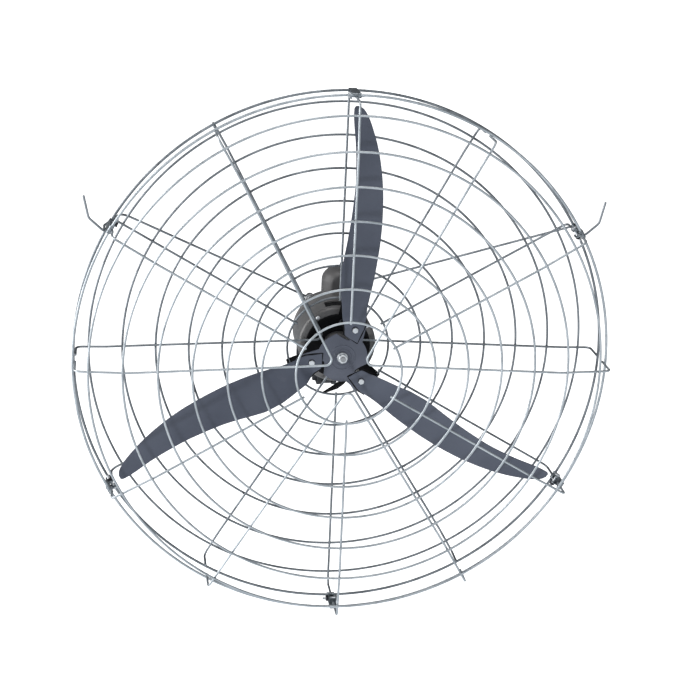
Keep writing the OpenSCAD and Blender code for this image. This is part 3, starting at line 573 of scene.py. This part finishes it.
def guard(node, tone, side, face, rim, seed, wander, knees, ring_back=0, back=0):
    """Seven rings and a rim, six single spokes and three hairpins on one side of the rings, and a
    nugget wherever two wires cross."""
    s = Shape()
    spoke_y = face + side * SEAT
    ring_y = [face + (ring_back if r == RINGS[-1] else 0) for r in RINGS]
    for k, r in enumerate(RINGS):
        add_ring(s, r, ring_y[k], RING_WIRE, seed + k, wander if k else 0.2)
    add_ring(s, GUARD_R, rim, RIM_WIRE, seed + 20, 0.25, 300)
    for a in range(30, 360, 60):
        s.tube(single_path(a, side, spoke_y, rim, knees[0], back), SPOKE_WIRE)
    for a in range(30, 360, 120):
        s.tube(hairpin_path(a, side, spoke_y, rim, knees[1], back), SPOKE_WIRE)
    for a in range(0, 360, 30):
        round_axis = polar(a, 0, 1)
        for r, y in zip(RINGS, ring_y):
            weld(s, polar(a, r, 0, y + side * SEAT / 2), round_axis, AFT)
        weld(s, polar(a, (LEG_R + GUARD_R) / 2, 0, rim), AFT, round_axis, 2)
    s.build(node + "_wires", [tone, WELD], "head", node, "guard_wire", sharp=60)


# Blades: radius, leading edge, trailing edge, and share of the steepest pitch
PLAN = np.array([
    (24, -21.6, -20.4, 0), (37.3, -26.7, -1.5, 0), (48, -31.2, -0.9, 0), (57.1, -32.4, 2.1, 0.42),
    (65.9, -32.7, 4.8, 0.8), (80, -34.2, 6.6, 0.9), (95.2, -37, 8.5, 1), (114.3, -40.8, 10.8, 0.98),
    (135.3, -44.2, 10.7, 0.97), (156.2, -46.7, 8.1, 0.87), (179.1, -48.8, 4, 0.735),
    (209.6, -49.8, -0.6, 0.6), (240, -49.2, -3.5, 0.57), (270.5, -46.5, -5.2, 0.56),
    (301, -41.4, -4.4, 0.47), (325.8, -35.2, -2.6, 0.35), (344.8, -28.8, -0.2, 0.29),
    (360, -22.8, 1.6, 0.29), (369.6, -17.8, 2.2, 0.29), (377.2, -12, 2.1, 0.29), (381, -6, 0, 0.29)
])
# Degrees that each blade is turned about its screw, and the screw's place: radius and side
TURN = (-0.38, 0.05, 0.35)
SCREW_U, SCREW_S = 44, -17
# Half the sheet, steepest pitch in degrees and the side about which it turns, and the camber
BLADE_HALF, BLADE_PITCH, PITCH_S, CAMBER = 1, 25, -34, 2.5


def plan_at(u):
    """Leading edge, trailing edge and pitch share at the radii u, one row each: cubics between the
    rows of PLAN, with the harmonic mean of two neighbouring slopes, or 0 where their sign changes."""
    x, y = PLAN[:, 0], PLAN[:, 1:]
    h = np.diff(x)[:, None]
    d = np.diff(y, axis=0) / h
    same = d[:-1] * d[1:] > 0
    mean = np.where(same, 2 * d[:-1] * d[1:] / np.where(same, d[:-1] + d[1:], 1), 0)
    m = np.vstack([d[:1], mean, d[-1:]])
    i = np.clip(np.searchsorted(x, u) - 1, 0, len(x) - 2)
    s = ((u - x[i]) / h[i, 0])[:, None]
    return ((2 * s**3 - 3 * s**2 + 1) * y[i] + (s**3 - 2 * s**2 + s) * h[i] * m[i]
            + (-2 * s**3 + 3 * s**2) * y[i + 1] + (s**3 - s**2) * h[i] * m[i + 1])


def blade(k):
    """Cambered sheet: rows follow the radius, columns go over the front and back along the back. The
    middle surface falls with the pitch, bulges by a parabola, and the two sides round off near both
    edges as a circle of half the sheet's thickness."""
    m = 26
    u = np.concatenate([np.linspace(24, 70, 24), np.linspace(72, 360, 130), np.linspace(362, 381, 16)])
    lead, trail, share = plan_at(u).T[..., None]
    f = (1 - np.cos(np.linspace(0, pi, m))) / 2
    f, side = np.concatenate([f, f[::-1]]), np.repeat([-1, 1], m)
    aside = lead + f * (trail - lead)
    edge = np.minimum(np.minimum(f, 1 - f) * (trail - lead), 1)
    half = np.minimum(BLADE_HALF, np.sqrt(np.maximum(0, 1 - (1 - edge) ** 2)) + 0.02)
    mid = HUB_Y - BLADE_HALF - (aside - PITCH_S) * np.tan(np.radians(BLADE_PITCH * share))
    mid = mid + CAMBER * share * 4 * f * (1 - f)
    c, n = cos(radians(TURN[k])), sin(radians(TURN[k]))
    du, ds = u[:, None] - SCREW_U, aside - SCREW_S
    s = Shape()
    s.grid(polar(BLADE_ANGLES[k], SCREW_U + du * c - ds * n, SCREW_S + du * n + ds * c, mid + side * half),
           close_v=True, flip=True)
    s.face(0, 2 * m)
    s.face(s.n - 2 * m, 2 * m, back=True)
    s.build("blade_skin_%d" % (k + 1), [BLADE], "rotor", "blade_%d" % (k + 1), "blade_paint", sharp=50)


def blade_fasteners():
    """A washer and a hexagonal head in front of each blade's root, and a nut on its thread behind."""
    washer = [(4.6, 0), (5, 0.15), (5, 0.4), (4.7, 0.55), (2.4, 0.55)]
    s, t = Shape(), Shape()
    for k, a in enumerate(BLADE_ANGLES):
        c = polar(a, SCREW_U, SCREW_S, HUB_Y - 2 * BLADE_HALF)
        s.lathe(washer, c, FORE, 40, 1)
        s.hexa(*M5_HEAD, c + 0.5 * FORE, FORE, turn=0.4 + k)
        back = polar(a, SCREW_U, SCREW_S, HUB_Y + HUB_T)
        t.hexa(*M5_NUT, back, AFT, turn=0.9 * k, bore=M5_BORE)
        t.thread(*M5_THREAD, 4.9, back + 0.2 * AFT, AFT)
    s.build("blade_screw_heads", [ZINC, DARKZINC], "rotor", "blade_screws", "zinc", sharp=30)
    t.build("blade_nut_set", [ZINC], "rotor", "blade_nuts", "zinc", sharp=30)


# Hub: outlines in radius and side of a blade's black root pad, a painted shadow line round the root, and of
# an arm, and the arm's corner radii
ROOT_SHADOW_PAD = [(60, -34.2), (48, -33.2), (36.6, -28.8), (21.2, -21.4), (36.2, 0.6), (48, 1.4), (60, 5)]
HUB_ARM = [(24.4, -29.1), (49.9, -34.3), (60, -33.4), (64.6, -30), (66, -18), (63, -11), (26.5, -10),
           (29.5, -1.6), (37.2, 9.7)]
HUB_ARM_R = [6, 5, 4, 6, 4, 1.5, 8]
HUB_R, SHADOW_PAD_T = 38, 0.3
SHAFT_R, SHAFT_END_R = 7, 4


def hub():
    """Plate: the filleted outline of three arms joined by arcs of the round middle, thin black pads at the
    blades' roots, whose rims are painted shadow lines round the roots, and two raised rings. Washer, boss and
    shaft are turned."""
    arm = fillet(np.column_stack([HUB_ARM, np.zeros(len(HUB_ARM))]), HUB_ARM_R, 6)[:, :2]
    q = np.radians(np.linspace(18, 67, 18))
    third = np.vstack([arm, HUB_R * np.column_stack([np.cos(q), np.sin(q)])])
    s = Shape()
    middle, behind = HUB_Y * AFT, (HUB_Y + HUB_T) * AFT
    slab(s, np.vstack([turned(a, third) for a in BLADE_ANGLES]), behind, HUB_T, 0.5)
    ring = np.array([(-0.9, -0.3), (-0.1, 0.5), (0.3, 0.8), (1.3, 0.8), (1.7, 0.5), (2.5, -0.3)])
    for r in (12, 18):
        s.lathe(ring + (r, 0), middle, FORE)
    # Black pads a little wider than the blades' roots: painted shadow lines round each root
    for a in BLADE_ANGLES:
        slab(s, rounded(turned(a, ROOT_SHADOW_PAD), 1, 3), middle, SHADOW_PAD_T, 0.05, mat=1)
    s.build("hub_plate_skin", [HUBP, BLACK_AND_SHADE], "rotor", "hub_plate", "hub_paint", sharp=40)

    s = Shape()
    s.lathe([(4.1, 0), (4.1, 1.2), (4.4, 1.5), (7.5, 1.5), (8, 1.1), (8, 0)], middle, FORE, 64)
    s.build("hub_washer_ring", [ZINC], "rotor", "hub_washer", "zinc")
    s = Shape()
    s.hexa(13, 6.5, middle + 1.5 * FORE, FORE, turn=0.2, bore=3.9)
    s.build("hub_lock_nut", [ZINC], "rotor", "hub_nut", "zinc", sharp=30)
    s = Shape()
    s.lathe([(7.1, 0), (15.2, 0), (16, 0.8), (16, 6), (15.2, 6.6), (14.6, 7.4), (14.6, 12.2), (13.8, 13),
             (7.1, 13)], behind, AFT)
    s.build("hub_boss_turned", [STEEL], "rotor", "hub_boss", "steel")
    s = Shape()
    s.lathe([(0.01, 0), (6.2, 0), (SHAFT_R, 0.8), (SHAFT_R, 150)], behind, AFT, 64)
    s.thread(SHAFT_END_R, 1.25, 11.4, (HUB_Y + 1) * AFT, FORE, n=28)
    s.lathe([(SHAFT_R, 150), (SHAFT_END_R, 150.6), (SHAFT_END_R, 189), (3.4, 190), (0.01, 190)],
            behind, AFT, 64)
    s.build("motor_shaft_turned", [STEEL], "rotor", "motor_shaft", "steel")


# Motor: radius of the shell's bands and of the wall between them, y of its two ends
MOTOR_R, MOTOR_WALL_R, SHELL_FRONT, SHELL_REAR = 60, 59.6, 10.5, 93


def motor():
    """Shell: a turned profile with a band at each end, less a window above and one below. Covers and
    screw heads are turned."""
    f, r = SHELL_FRONT, SHELL_REAR
    s = Shape()
    s.lathe([(57, f), (59.1, f), (59.5, f + 0.5), (MOTOR_R, f + 2.5), (MOTOR_R, f + 6),
             (MOTOR_WALL_R, f + 6.5), (MOTOR_WALL_R, r - 5.5), (MOTOR_R, r - 5), (MOTOR_R, r - 0.4),
             (59.7, r), (57, r), (57, f)], (0, 0, 0), AFT, 192)
    window = rounded([(-18.5, 20.5), (18.5, 20.5), (18.5, 45.5), (-18.5, 45.5)], 3)
    s = cut(s, [slab(Shape(), window, z * UP, 22, 0.01, v=AFT) for z in (48, -70)])
    s.build("motor_shell_rolled", [MOTOR], "head", "motor_shell", "motor_paint", sharp=30, bevel=0.5)

    s = Shape()
    s.lathe([(7.6, 3), (7.6, -3.9), (8.4, -4.5), (17.6, -4.5), (19.6, -3.8), (21, -1.8), (21.2, 0.6),
             (22, 2.6), (23.8, 4), (26.5, 4.5), (46, 4.5), (50, 4.75), (53, 5.3), (55.5, 6.2),
             (57.4, 7.5), (58.7, 9), (59.3, f), (52, f), (7.6, f), (7.6, 3)], (0, 0, 0), AFT, 192)
    s.build("motor_cover_front", [MOTOR], "head", "motor_front_cover", "motor_paint", sharp=40)
    s = Shape()
    s.lathe([(5, r), (59.4, r), (MOTOR_R, 93.6), (MOTOR_R, 96), (59.3, 98), (57.4, 99), (5, 99), (5, r)],
            (0, 0, 0), AFT, 192)
    s.build("motor_cover_rear", [MOTOR], "head", "motor_rear_cover", "motor_paint", sharp=35)

    head = [(0.01, 2.4), (0.9, 1.4), (1.1, 2.7), (2.4, 2.5), (3.2, 1.7), (3.5, 0.4), (3.5, -1), (0.01, -1)]
    s = Shape()
    for a in range(36, 396, 90):
        s.lathe(head, polar(a, 54, 0, 4.6), FORE, 32)
    s.build("tie_screw_heads", [ZINC], "head", "tie_screws", "zinc", sharp=30)


# Guard carrier: angles of its arms, their half width and reach, the disc's radius, front and back
ARM_ANGLES, ARM_HALF, ARM_REACH, DISC_R = (81, 201, 321), 8, 81.9, 50
CARRIER_FRONT, CARRIER_BACK = 1.75, 4.5
TONGUE = [(-25, -78.5), (-12, -75.2), (3, -69.5), (12.5, -62), (20, -52), (22, -42), (12, -45), (8, -54),
          (-1, -62), (-12.5, -70)]
TONGUE_R = [1.5, 3, 4, 4, 3, 1, 3, 4, 4, 3]


def star(r0, polys, n=720):
    """Angles, and at each the radius of a disc of r0 joined with polygons: where the ray crosses its
    farthest side, then evened out three times with the radii beside it."""
    ang = angles(n)
    dx, dy = np.cos(ang)[:, None], np.sin(ang)[:, None]
    px, py = np.concatenate(polys).T
    ex, ey = np.concatenate([np.roll(p, -1, 0) - p for p in polys]).T
    den = dx * ey - dy * ex
    den[np.abs(den) < 1e-9] = 1e-9
    far = (px * ey - py * ex) / den
    share = (px * dy - py * dx) / den
    hit = (share >= -1e-6) & (share <= 1 + 1e-6)
    out = np.maximum(r0, np.where(hit, far, 0).max(1))
    for _ in range(3):
        out = (np.roll(out, 1) + 2 * out + np.roll(out, -1)) / 4
    return ang, out


def carrier():
    """Pressed plate: rings whose radius goes from the bore over a sunk band to the star's outline, a
    folded lip at each arm's end and the tongue below. Three screws hold it."""
    arm = [(20, -ARM_HALF), (ARM_REACH, -ARM_HALF), (ARM_REACH, ARM_HALF), (20, ARM_HALF)]
    ang, r = star(DISC_R, [turned(a, arm) for a in ARM_ANGLES])
    f, b = CARRIER_FRONT, CARRIER_BACK
    radii = np.stack(np.broadcast_arrays(24, 24, 24.4, 31, 32, 44, 45, r - 0.5, r - 0.12, r, r, 24))
    y = np.array([b, f + 0.4, f, f, f + 0.35, f + 0.35, f, f, f + 0.12, f + 0.5, b, b])[:, None, None]
    s = Shape()
    s.grid(radii[..., None] * np.column_stack([np.cos(ang), 0 * ang, np.sin(ang)]) + y * AFT, close_v=True)
    lip = rounded([(-ARM_HALF, 0), (ARM_HALF, 0), (ARM_HALF, -7), (-ARM_HALF, -7)], [0.6, 0.6, 2.5, 2.5], 6)
    for a in ARM_ANGLES:
        slab(s, lip, polar(a, 80, 0, b), 2, u=polar(a, 0, 1), v=AFT)
    slab(s, rounded(TONGUE, TONGUE_R, 6), b * AFT, b - f - 0.05)
    s.build("carrier_pressed", [BLACK_AND_SHADE], "head", "guard_carrier", "carrier_black", sharp=35)

    washer = [(0.01, 0), (5.2, 0), (5.5, 0.3), (5.5, 0.8), (5, 1.1), (0.01, 1.1)]
    s = Shape()
    for k, a in enumerate(ARM_ANGLES):
        c = polar(a, 38, 0, 2.05)
        s.lathe(washer, c, FORE, 32)
        s.hexa(*M5_HEAD, c + 0.9 * FORE, FORE, turn=0.3 + 1.1 * k)
    s.build("carrier_screw_heads", [DARKZINC], "head", "carrier_screws", "dark_zinc", sharp=30)


# Rim clips: thickness of the strap, radius of its middle about a rim's wire, y and radius of the screw
CLIP_T, CLIP_EYE = 1.5, 2.85
CLIP_Y, CLIP_SCREW_R = -59, 396
# At each of the eight points of the strap's section: share of the thickness, and step in from the side
STRAP_SHARE = np.array([0, 0, 0.15, 0.85, 1, 1, 0.85, 0.15])
STRAP_SHORT = np.array([1, -1, 0, 0, -1, 1, 0, 0]) * 0.25


def strip(s, a, s0, s1, end):
    """Strap from side s0 to s1: an eight-point section carried along a line that goes round the front
    rim's wire from end degrees, straight across the outside and round the rear rim's wire."""
    th = np.radians(np.linspace(0, end, 22))
    out, aside = GUARD_R + CLIP_EYE * np.cos(th), CLIP_EYE * np.sin(th)
    across_rims = np.column_stack([np.full(3, GUARD_R + CLIP_EYE), CLIP_Y + np.array([-11, 0, 11])])
    line = np.vstack([np.column_stack([out, FRONT_RIM - aside])[::-1], across_rims,
                      np.column_stack([out, REAR_RIM + aside])])
    run = np.gradient(line, axis=0)
    outward = unit(np.column_stack([run[:, 1], -run[:, 0]]))[:, None]
    q = line[:, None] + outward * CLIP_T * (STRAP_SHARE - 0.5)[:, None]
    side = np.array([s0, s1, s1, s1, s1, s0, s0, s0]) + STRAP_SHORT
    s.grid(polar(a, q[..., 0], side, q[..., 1]), close_v=True)
    n = len(STRAP_SHARE)
    s.face(s.n - n, n)
    s.face(s.n - len(line) * n, n, back=True)


def clip(k):
    """Rim clip: two strips hooked well round both rims, a shorter one between them, and two ears."""
    a = 60 * k - 30
    s = Shape()
    strip(s, a, -6, -2.1, 250)
    strip(s, a, -2.1, 2.1, 118)
    strip(s, a, 2.1, 6, 250)
    ear = rounded([(391.2, -67.6), (403, -68), (403, -50), (391.2, -50.4)], [4.2, 0.8, 0.8, 4.2])
    for side in (-5.25, 5.25):
        u = polar(a, 1)
        slab(s, ear, polar(a, 0, side) - np.cross(u, AFT) * CLIP_T / 2, CLIP_T, 0.3, u=u, v=AFT)
    s.build("rim_clip_bent_%d" % k, [CLIP], "head", "rim_clip_%d" % k, "clip_zinc", sharp=35)


def clip_fasteners():
    """A screw through both ears of each clip, along the rim, and its nut."""
    s, t = Shape(), Shape()
    for k in range(6):
        a = 60 * k + 30
        side = polar(a, 0, 1)
        c = polar(a, CLIP_SCREW_R, 6, CLIP_Y)
        s.hexa(M5_FLATS, 3.4, c, side, turn=0.5 + k)
        s.thread(M5_BORE, M5_PITCH, 20.6, c, -side, n=18)
        far = polar(a, CLIP_SCREW_R, -6, CLIP_Y)
        t.hexa(*M5_NUT, far, -side, turn=0.2 + 0.7 * k, bore=M5_BORE)
    s.build("clip_screw_set", [ZINC], "head", "clip_screws", "dark_zinc", sharp=30)
    t.build("clip_nut_set", [DARKZINC], "head", "clip_nuts", "dark_zinc", sharp=30)


# Stay rods: x and z of their lugs, y of the rods there, radius of their eyes, y of the eyes' front
LUGS = ((-31, 42), (60, 70))
STAY_Y, EYE_R, EYE_FRONT = 120.25, 4.45, 118.5
# Foot: radius at the clip and how far it stands beside the clip's ray at 30 degrees
FOOT_R, FOOT_S = 403.4, 11


def stay(side, name, lug, bends, radii):
    """Bent rod: a hook out beyond the rim, down to the foot, back and in over the bends to the lug,
    and an eye round the lug's screw."""
    fx = side * (FOOT_R * cos(radians(30)) + FOOT_S * sin(radians(30)))
    fz = FOOT_R * sin(radians(30)) - FOOT_S * cos(radians(30))
    dx, dz = unit(np.array([fx - lug[0], fz - lug[1]]))
    reach = EYE_R + 9
    pts = [(side * 384, CLIP_Y, 244), (side * 377, CLIP_Y, 212), (fx, CLIP_Y, fz), (fx, bends[0], fz),
           *bends[1:], (lug[0] + dx * reach, STAY_Y, lug[1] + dz * reach)]
    b = np.linspace(0, radians(335), 34) + atan2(dz, dx)
    eye = np.column_stack([lug[0] + EYE_R * np.cos(b), np.full(34, STAY_Y), lug[1] + EYE_R * np.sin(b)])
    s = Shape()
    s.tube(np.vstack([densify(fillet(pts, radii, 10), 12), eye]), SPOKE_WIRE, 14)
    s.build("stay_rod_bent_%s" % name, [STAY], "head", "stay_rod_%s" % name, "stay_wire", sharp=60)


def stays():
    """The two rods, the left one with one bend more, and a washer, head and thread at each lug."""
    stay(-1, "left", LUGS[0], [-22, (-329.4, 45, 194.8)], [12, 7, 20, 26])
    stay(1, "right", LUGS[1], [4], [12, 7, 9])
    washer = [(0.01, 0), (6.6, 0), (7, 0.3), (7, 0.8), (6.6, 1.1), (0.01, 1.1)]
    s = Shape()
    for x, z in LUGS:
        s.lathe(washer, (x, EYE_FRONT, z), FORE, 40)
        s.hexa(*M5_HEAD, (x, EYE_FRONT - 1, z), FORE, turn=0.3 + x)
        s.thread(*M5_THREAD, 11, (x, EYE_FRONT, z), AFT, n=18)
    s.build("stay_screw_heads", [ZINC], "head", "stay_screws", "zinc", sharp=30)


# Gearbox: y of its front and back, middle of the tower, y of the neck, x and z of the gland
BOX_FRONT, BOX_BACK = 99, 153
TOWER_X, TOWER_Y, NECK_Y = 20, 126, 122
GLAND_X, GLAND_Z = -34, -40


def gearbox():
    """Casting: round bars for the body, neck and gland seat, a domed tower cut off flush with the
    body's ends, a lug with its web for each stay rod and two low ribs, all fused."""
    s = Shape()
    rod(s, (0, BOX_FRONT, 0), (0, BOX_BACK, 0), 46, 96, 1)
    rod(s, (0, BOX_FRONT, 0), (0, 105, 0), 52, 96, 1)
    q = np.radians(np.arange(6, 91, 6))
    dome = np.column_stack([13 + 20 * np.cos(q), 71 + 20 * np.sin(q)])
    tower = Shape()
    tower.lathe(np.vstack([[(0.01, -24), (33, -24), (33, 71)], dome, [(0.01, 91)]]),
                (TOWER_X, TOWER_Y, 0), UP)
    front = block(Shape(), (-60, 60, -60), (90, BOX_FRONT, 120))
    back = block(Shape(), (-60, BOX_BACK, -60), (90, 200, 120))
    s.add(*cut(tower, [front, back]).arrays())
    rod(s, (0, NECK_Y, -60), (0, NECK_Y, 0), 22, 64, 0.8)
    rod(s, (GLAND_X, TOWER_Y, GLAND_Z), (GLAND_X, TOWER_Y, 0), 10.5, 48, 0.5)
    for x, z in LUGS:
        rod(s, (x, NECK_Y, z), (x, NECK_Y + 8, z), 7, 40, 0.3)
    (left_x, left_z), (right_x, right_z) = LUGS
    x, y, z = BOX.T
    inner, toward_lug = hypot(left_x, left_z) - 13, degrees(atan2(left_z, left_x))
    s.add(polar(toward_lug, inner + 13 * x, -7 + 14 * z, NECK_Y + 8 * y), BOX_FACES, [4] * 6)
    block(s, (47, NECK_Y, right_z - 7), (right_x, NECK_Y + 8, right_z + 7))
    for x in (-20, 20):
        block(s, (x - 2.5, 108, -44), (x + 2.5, 144, -30))
    cast(s, 1.3, 5).build("gearbox_casting", [CAST], "head", "gearbox_housing", "casting_grey", sharp=60)

    s = Shape()
    s.lathe([(0.01, BOX_BACK), (40, BOX_BACK), (40, 156), (39.4, 157.3), (37.6, 158), (24, 158), (23, 157.4),
             (0.01, 157.4)], (0, 0, 0), AFT, 128)
    s.build("gearbox_cover_turned", [CAST], "head", "gearbox_cover", "casting_grey", sharp=35)
    s = Shape()
    for k in range(4):
        s.hexa(M5_FLATS, 3.5, polar(45 + 90 * k, 34, 0, 157.8), AFT, turn=0.3 + 0.8 * k)
    s.build("cover_screw_heads", [ZINC], "head", "cover_screws", "zinc", sharp=30)
    s = Shape()
    s.hexa(18.5, 7, (GLAND_X, TOWER_Y, GLAND_Z), -UP, turn=0.2)
    s.lathe([(8, -46.8), (8, -47.6), (7.4, -49.6), (5.6, -51.4), (3, -52), (0.01, -52)],
            (GLAND_X, TOWER_Y, 0), UP, 48)
    s.build("gland_moulded", [PLASTIC], "head", "cable_gland", "black_plastic", sharp=35)


def knob():
    """Turned profile with twelve flutes: each radius less a share of a clipped cosine round the axis."""
    n = 240
    ang = angles(n)
    flute = 0.4 * np.clip(np.cos(ang * 12) + 0.3, 0, 1)
    around = np.column_stack([np.cos(ang), np.sin(ang), 0 * ang])
    foot = np.array([TOWER_X, TOWER_Y, 91.2])
    profile = [(4, 0, 0), (4.4, 0, 0), (4.8, 0.3, 0), (5, 0.9, 0), (5, 1.4, 1), (5, 5.6, 1), (4.8, 6.6, 0.6),
               (4.3, 7.7, 0.2), (3.6, 8.5, 0), (2.8, 9, 0), (2.2, 9, 0), (1.8, 8.8, 0), (0.01, 8.7, 0)]
    r, h, share = np.array(profile).T[..., None]
    s = Shape()
    s.grid(foot + (r - flute * share)[..., None] * around + h[..., None] * UP, close_v=True)
    s.lathe([(0.01, -30), (3.6, -30), (4, -29.6), (4, 0.5)], foot, UP, 40)
    s.build("knob_moulded", [PLASTIC], "knob", "oscillation_knob", "black_plastic", sharp=40)


# Neck and bracket: z of the tilt bolt, and the middle and half thickness of the fork's cheeks
TILT_Z, CHEEK_X, CHEEK_HALF = -88, 12.15, 3.85


def neck():
    """Casting of a round plate, a barrel for the tilt bolt and a block between them; the post is turned."""
    s = Shape()
    rod(s, (0, NECK_Y, -66.2), (0, NECK_Y, -60.2), 24, 96, 0.6)
    rod(s, (-8, NECK_Y, TILT_Z), (8, NECK_Y, TILT_Z), 13, 64, 0.5)
    block(s, (-8, NECK_Y - 13, TILT_Z), (8, NECK_Y + 13, -63))
    cast(s, 0.9, 4).build("neck_casting", [BRACKET], "neck", "tilt_neck", "bracket_black", sharp=60)
    s = Shape()
    s.lathe([(0.01, -66.2), (9, -66.2), (9, -25.2), (8, -24.2), (0.01, -24.2)], (0, NECK_Y, 0), UP, 64)
    s.build("neck_post_turned", [STEEL], "neck", "neck_post", "steel", sharp=30)


def bracket():
    """Arm: the hull of its wall end and fork end with two cheeks, fused. Plate: a rounded slab less
    its four holes. The tilt bolt is a collar, a head, a shank and a thread."""
    s = Shape()
    ends = [(x, y, z) for x in (-20, 20) for y in (293, 297) for z in (-99, -51)]
    ends += [(x, y, z) for x in (-16, 16) for y in (142, 157) for z in (-103, -73)]
    s.add(*hull(ends).arrays())
    for x in (-CHEEK_X, CHEEK_X):
        lo, hi = x - CHEEK_HALF, x + CHEEK_HALF
        rod(s, (lo, NECK_Y, TILT_Z), (hi, NECK_Y, TILT_Z), 15, 64, 0.3)
        block(s, (lo, NECK_Y, TILT_Z - 15), (hi, 143, TILT_Z + 15))
    s = cast(s, 1.1, 4)
    s.build("bracket_arm_casting", [BRACKET], "bracket", "wall_arm", "bracket_black", sharp=60)

    plate = Shape()
    slab(plate, rounded([(-29, -125), (29, -125), (29, -25), (-29, -25)], 16, 14), (0, 305, 0), 8, 1)
    holes = [rod(Shape(), (x, 290, z), (x, 310, z), 4.5, 40) for x in (-18, 18) for z in (-113, -37)]
    plate = cut(plate, holes)
    plate.build("bracket_plate_cast", [BRACKET], "bracket", "wall_plate", "bracket_black", sharp=35)

    s = Shape()
    collar = [(0.01, 0), (9.6, 0), (10, 0.4), (10, 1.2), (9.6, 1.6), (5, 1.6)]
    s.lathe(collar, (-16, NECK_Y, TILT_Z), -RIGHT, 48)
    s.hexa(17, 5, (-17.4, NECK_Y, TILT_Z), -RIGHT, turn=0.35)
    s.lathe([(5, 0), (5, 34)], (-17, NECK_Y, TILT_Z), RIGHT, 48)
    s.thread(5, 1.5, 11, (15, NECK_Y, TILT_Z), RIGHT, n=32)
    s.build("tilt_bolt_forged", [DARKZINC], "bracket", "tilt_bolt", "zinc", sharp=30)
    s = Shape()
    s.hexa(17, 8, (16, NECK_Y, TILT_Z), RIGHT, turn=0.1, bore=4.9)
    s.build("tilt_nut_forged", [DARKZINC], "bracket", "tilt_nut", "zinc", sharp=30)


guard("rear_guard", WIRE_REAR_SHADED, -1, 0, REAR_RIM, seed=11, wander=0.55, knees=REAR_KNEES)
guard("front_guard", WIRE_FRONT, 1, FRONT_FACE, FRONT_RIM, seed=71, wander=0.5, knees=FRONT_KNEES,
      ring_back=RING_BACK, back=SPOKE_BACK)
for k in range(3):
    blade(k)
blade_fasteners()
hub()
motor()
carrier()
for k in range(1, 7):
    clip(k)
clip_fasteners()
stays()
gearbox()
knob()
neck()
bracket()

# Nodes shown as the CAD made them, with a finish of their own; the cores' near-black finish is painted shade
for node, m in dict(stator_core=CORE_SHADED, stator_coils=COPPER, front_bearing=STEEL, rear_bearing=STEEL,
                    rotor_core=CORE_SHADED, worm=STEEL, worm_wheel=BRASS, gear_shaft=STEEL).items():
    ob = bpy.data.objects[node]
    ob.data.materials.clear()
    ob.data.materials.append(m)


# Stage, light and camera, in metres: half the room's width, its floor and top, and its glow
ROOM, FLOOR_Z, ROOM_TOP, GLOW = 9, -1.1, 9, 1.2


def stage_sheets(name, corners):
    """Plain white sheets of four corners each that the camera sees but that light nothing."""
    m = bpy.data.materials.new(name + "_matt")
    m.use_nodes = True
    values = {"Base Color": (0.86, 0.86, 0.86, 1), "Roughness": 0.9, "Emission Color": (1, 1, 1, 1),
              "Emission Strength": GLOW}
    set_inputs(m.node_tree, m.node_tree.nodes["Principled BSDF"], values)
    me = bpy.data.meshes.new(name)
    me.from_pydata(corners, [], np.arange(len(corners)).reshape(-1, 4).tolist())
    me.materials.append(m)
    o = linked(name, me)
    o.visible_glossy = o.visible_diffuse = o.visible_shadow = False


room = [(-ROOM, -ROOM), (ROOM, -ROOM), (ROOM, ROOM), (-ROOM, ROOM)]
stage_sheets("floor", [(x, y, FLOOR_Z) for x, y in room])
room.reverse()
stage_sheets("backdrop", [(x, y, z) for a, b in zip(room, room[1:] + room[:1])
                          for (x, y), z in ((a, FLOOR_Z), (b, FLOOR_Z), (b, ROOM_TOP), (a, ROOM_TOP))])
bpy.context.scene.view_settings.view_transform = "Standard"

# The sky is brighter towards the low front: strength follows the angle to this direction
SKY_TOWARD = (-0.12, -0.6, -0.79)
world = bpy.data.worlds.new("studio")
bpy.context.scene.world = world
world.use_nodes = True
sky = world.node_tree
toward = sky.nodes.new("ShaderNodeVectorMath")
toward.operation = "DOT_PRODUCT"
set_inputs(sky, toward, {0: sky.nodes.new("ShaderNodeTexCoord").outputs["Generated"], 1: SKY_TOWARD})
strength = spread(sky, toward.outputs["Value"], -0.55, 0.95, 0.16, 0.84)
set_inputs(sky, sky.nodes["Background"], {"Strength": strength, "Color": (0.9, 0.95, 1, 1)})


def area(name, loc, target, size, power, glint=True):
    """Rectangular light; without glint it lights the part but isn't mirrored in the bright wires."""
    li = bpy.data.lights.new(name, "AREA")
    li.shape, li.size, li.size_y, li.energy = "RECTANGLE", size[0], size[1], power
    o = linked(name, li)
    o.location = loc
    o.rotation_euler = (Vector(target) - Vector(loc)).to_track_quat("-Z", "Y").to_euler()
    o.visible_glossy = glint


area("key", (0.1, -2.5, -1.1), (0, -0.36, 0.05), (0.2, 0.2), 30, False)
area("side", (-2.6, -0.2, 0.7), (0, -0.2, 0.05), (2.6, 2.6), 60)
area("top", (-0.3, -0.6, 2.8), (0, -0.3, 0), (2.4, 1.6), 22)

# The camera, fitted to the guards' rings in the photograph: its right, up and back, and its place
CAMERA = ((0.991134, -0.126072, 0.041944, 0), (-0.00187, 0.302411, 0.953175, 0),
          (-0.132853, -0.944803, 0.299496, 0), (-0.34524, -2.76464, 0.86482, 1))
cam = bpy.data.cameras.new("camera")
cam.lens, cam.sensor_width, cam.sensor_fit = 90.4, 36, "HORIZONTAL"
cam.clip_start, cam.clip_end = 0.05, 50
eye = linked("camera", cam)
eye.matrix_world = Matrix(CAMERA).transposed()
bpy.context.scene.camera = eye
